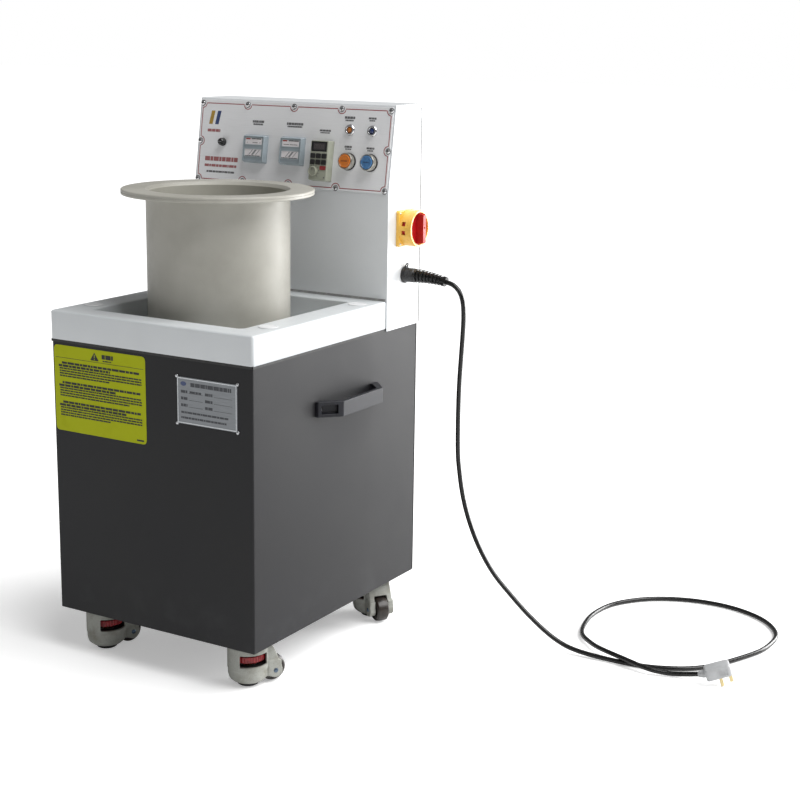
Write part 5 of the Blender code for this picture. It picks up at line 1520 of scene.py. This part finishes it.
# ---- cable gland, bend protector and plug ------------------------------------------------------
# A black nylon gland with an eyelet lug holds the mains cord; a ribbed rubber sleeve tapers over
# the cord and droops with it. The moulded pale-grey plug lies propped on its three flat pins.
def gland_and_relief():
    """Gland nut, lug, and the ribbed sleeve along its bend."""
    black = nylon("gland_nylon", (0.012, 0.012, 0.013), (0.022, 0.022, 0.022), 0.28)
    sleeve_rubber = rubber("sleeve_rubber", 0.005, 0.24)
    low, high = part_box("cable_gland")
    y, z = (low.y + high.y) / 2, (low.z + high.z) / 2
    seat = Matrix.Translation((low.x - 0.0003, y, z)) @ Matrix.Rotation(pi / 2, 4, "Y")
    profile = soften([(0.0002, 0.0003), (0.0160, 0.0003), (0.0160, 0.0036), (0.0144, 0.0044),
                      (0.0138, 0.0060), (0.0138, 0.0180), (0.0134, 0.0188), (0.0138, 0.0196),
                      (0.0138, 0.0230), (0.0124, 0.0250), (0.0002, 0.0250)], 0.0005)
    add_piece("gland_body", turn_solid(profile, 64), black, "gland", seat,
              stands_for=("cable_gland",))
    flats = place_mesh("gland_nut", slab([(0.0141 * cos(i * pi / 3), 0.0141 * sin(i * pi / 3))
                                          for i in range(6)], 0.0062, 0.0165), seat)
    round_edges(flats, 0.0008, 2, 30)
    finish_piece(flats, black, "frame")
    turns, tube = 28, 10
    loops = []
    for i in range(turns):
        a = 2 * pi * i / turns
        loops.append([((0.0042 + 0.0013 * cos(b)) * cos(a) + 0.0184,
                       (0.0042 + 0.0013 * cos(b)) * sin(a), 0.0028 + 0.0013 * sin(b))
                      for b in (2 * pi * k / tube for k in range(tube))])
    lay = Matrix.Translation((low.x + 0.0010, y, z)) @ Matrix.Rotation(radians(-70), 4, "Y")
    add_piece("gland_lug", skin(bmesh.new(), loops, close=True), black, "gland", lay)

    start = Vector((high.x + 0.0003, y, z))
    cord_start = Vector(CORD_ROUTE[0]) - Vector((MACHINE_SHIFT, 0, 0))
    leave = (Vector(CORD_ROUTE[1]) - Vector(CORD_ROUTE[0])).normalized()
    knee = start + Vector(((cord_start - start).length / 2, 0, 0))
    count, ribs = 120, 9
    loops = []
    for i in range(count + 1):
        t = i / count
        place = (1 - t) ** 2 * start + 2 * t * (1 - t) * knee + t ** 2 * (cord_start - leave * 3e-4)
        heading = Vector((1, 0, 0)).lerp(leave, t).normalized()
        turn = heading.to_track_quat("Z", "Y").to_matrix()
        taper = 0.0136 + t * (0.0092 - 0.0136)
        wave = (t * ribs) % 1.0
        groove = 0.0036 * (1 - t * 0.5) if 0.56 < wave and 0.03 < t < 0.90 else 0.0
        edge = 0.0007 if (wave < 0.12 or 0.44 < wave < 0.56) and t < 0.90 else 0.0
        radius = taper - groove - edge
        loops.append([place + turn @ Vector(p) for p in ring(radius, 0, 48)])
    return add_piece("ribbed_sleeve", skin(bmesh.new(), loops), sleeve_rubber, "relief",
                     stands_for=("strain_relief",), sharp=40)


def plug():
    """Moulded body with finger grooves and a cord boot, and three brass pins."""
    turn = Euler([radians(a) for a in (4.2, -17.9, 26.5)]).to_matrix().to_4x4()
    seat = Matrix.Translation((0.8897 - MACHINE_SHIFT, 0.2334, 0.0297)) @ turn
    pale = gloss("plug_pvc", (0.50, 0.51, 0.52), (0.43, 0.435, 0.44), 0.36)
    loops = [rounded_rect(*size) for size in
             ((0.0440, 0.0270, 0.0050, -0.0110), (0.0464, 0.0294, 0.0058, -0.0102),
              (0.0470, 0.0300, 0.0060, -0.0085), (0.0470, 0.0300, 0.0060, 0.0070),
              (0.0462, 0.0292, 0.0058, 0.0090), (0.0444, 0.0274, 0.0052, 0.0104),
              (0.0410, 0.0240, 0.0045, 0.0110))]
    body = place_mesh("plug_moulding", skin(bmesh.new(), loops), sharp=50)
    grooves = []
    for side in (-1, 1):
        for k in range(4):
            x = 0.0015 + 0.0042 * k
            y = side * 0.0150
            grooves.append(block((x, y - 0.0009, -0.0060), (x + 0.0018, y + 0.0009, 0.0050)))
    carve(body, grooves)
    body.data.transform(seat)
    set_smooth(body, 40)
    finish_piece(body, pale, "frame", ("plug_body",))

    line = [Vector(p) - Vector((MACHINE_SHIFT, 0, 0)) for p in CORD_ROUTE[-2:]]
    end, way = line[1], (line[1] - line[0]).normalized()
    face = seat @ Vector((-0.0235, 0, 0))
    loops = []
    for t, radius in ((-0.0095, 0.0047), (-0.0090, 0.0056), (-0.0040, 0.0062), (-0.0036, 0.0056),
                      (-0.0020, 0.0056), (-0.0016, 0.0066), (0.0, 0.0070)):
        spot = end + way * t
        quat = way.to_track_quat("Z", "Y").to_matrix()
        loops.append([spot + quat @ Vector(p) for p in ring(radius, 0, 36)])
    ahead = (seat.to_3x3() @ Vector((1, 0, 0))).normalized()
    quat = ahead.to_track_quat("Z", "Y").to_matrix()
    loops.append([face + ahead * 0.0006 + quat @ Vector(p) for p in ring(0.0078, 0, 36)])
    boot = add_piece("plug_boot", skin(bmesh.new(), loops), pale, "plug", sharp=50)

    brass = metal("brass_pin", (0.72, 0.60, 0.33), 0.26, (0.52, 0.42, 0.22))
    pieces = [body, boot]
    for name, (x, y, angle) in {"live": (0.0015, -0.0085, 30), "neutral": (0.0015, 0.0085, -30),
                                "earth": (0.0195, 0.0, 0)}.items():
        blade = [rounded_rect(0.0065 - g, 0.0018 - g, 0.0006, z, steps=3)
                 for g, z in ((0.0010, -0.0180), (0.0, -0.0172), (0.0, 0.0))]
        at = seat @ Matrix.Translation((x, y, -0.0113)) @ Matrix.Rotation(radians(angle), 4, "Z")
        pieces.append(add_piece(f"pin_{name}", skin(bmesh.new(), blade), brass, "pin", at,
                                stands_for=(f"plug_pin_{name}",)))
    return pieces


sleeve = gland_and_relief()
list(plug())
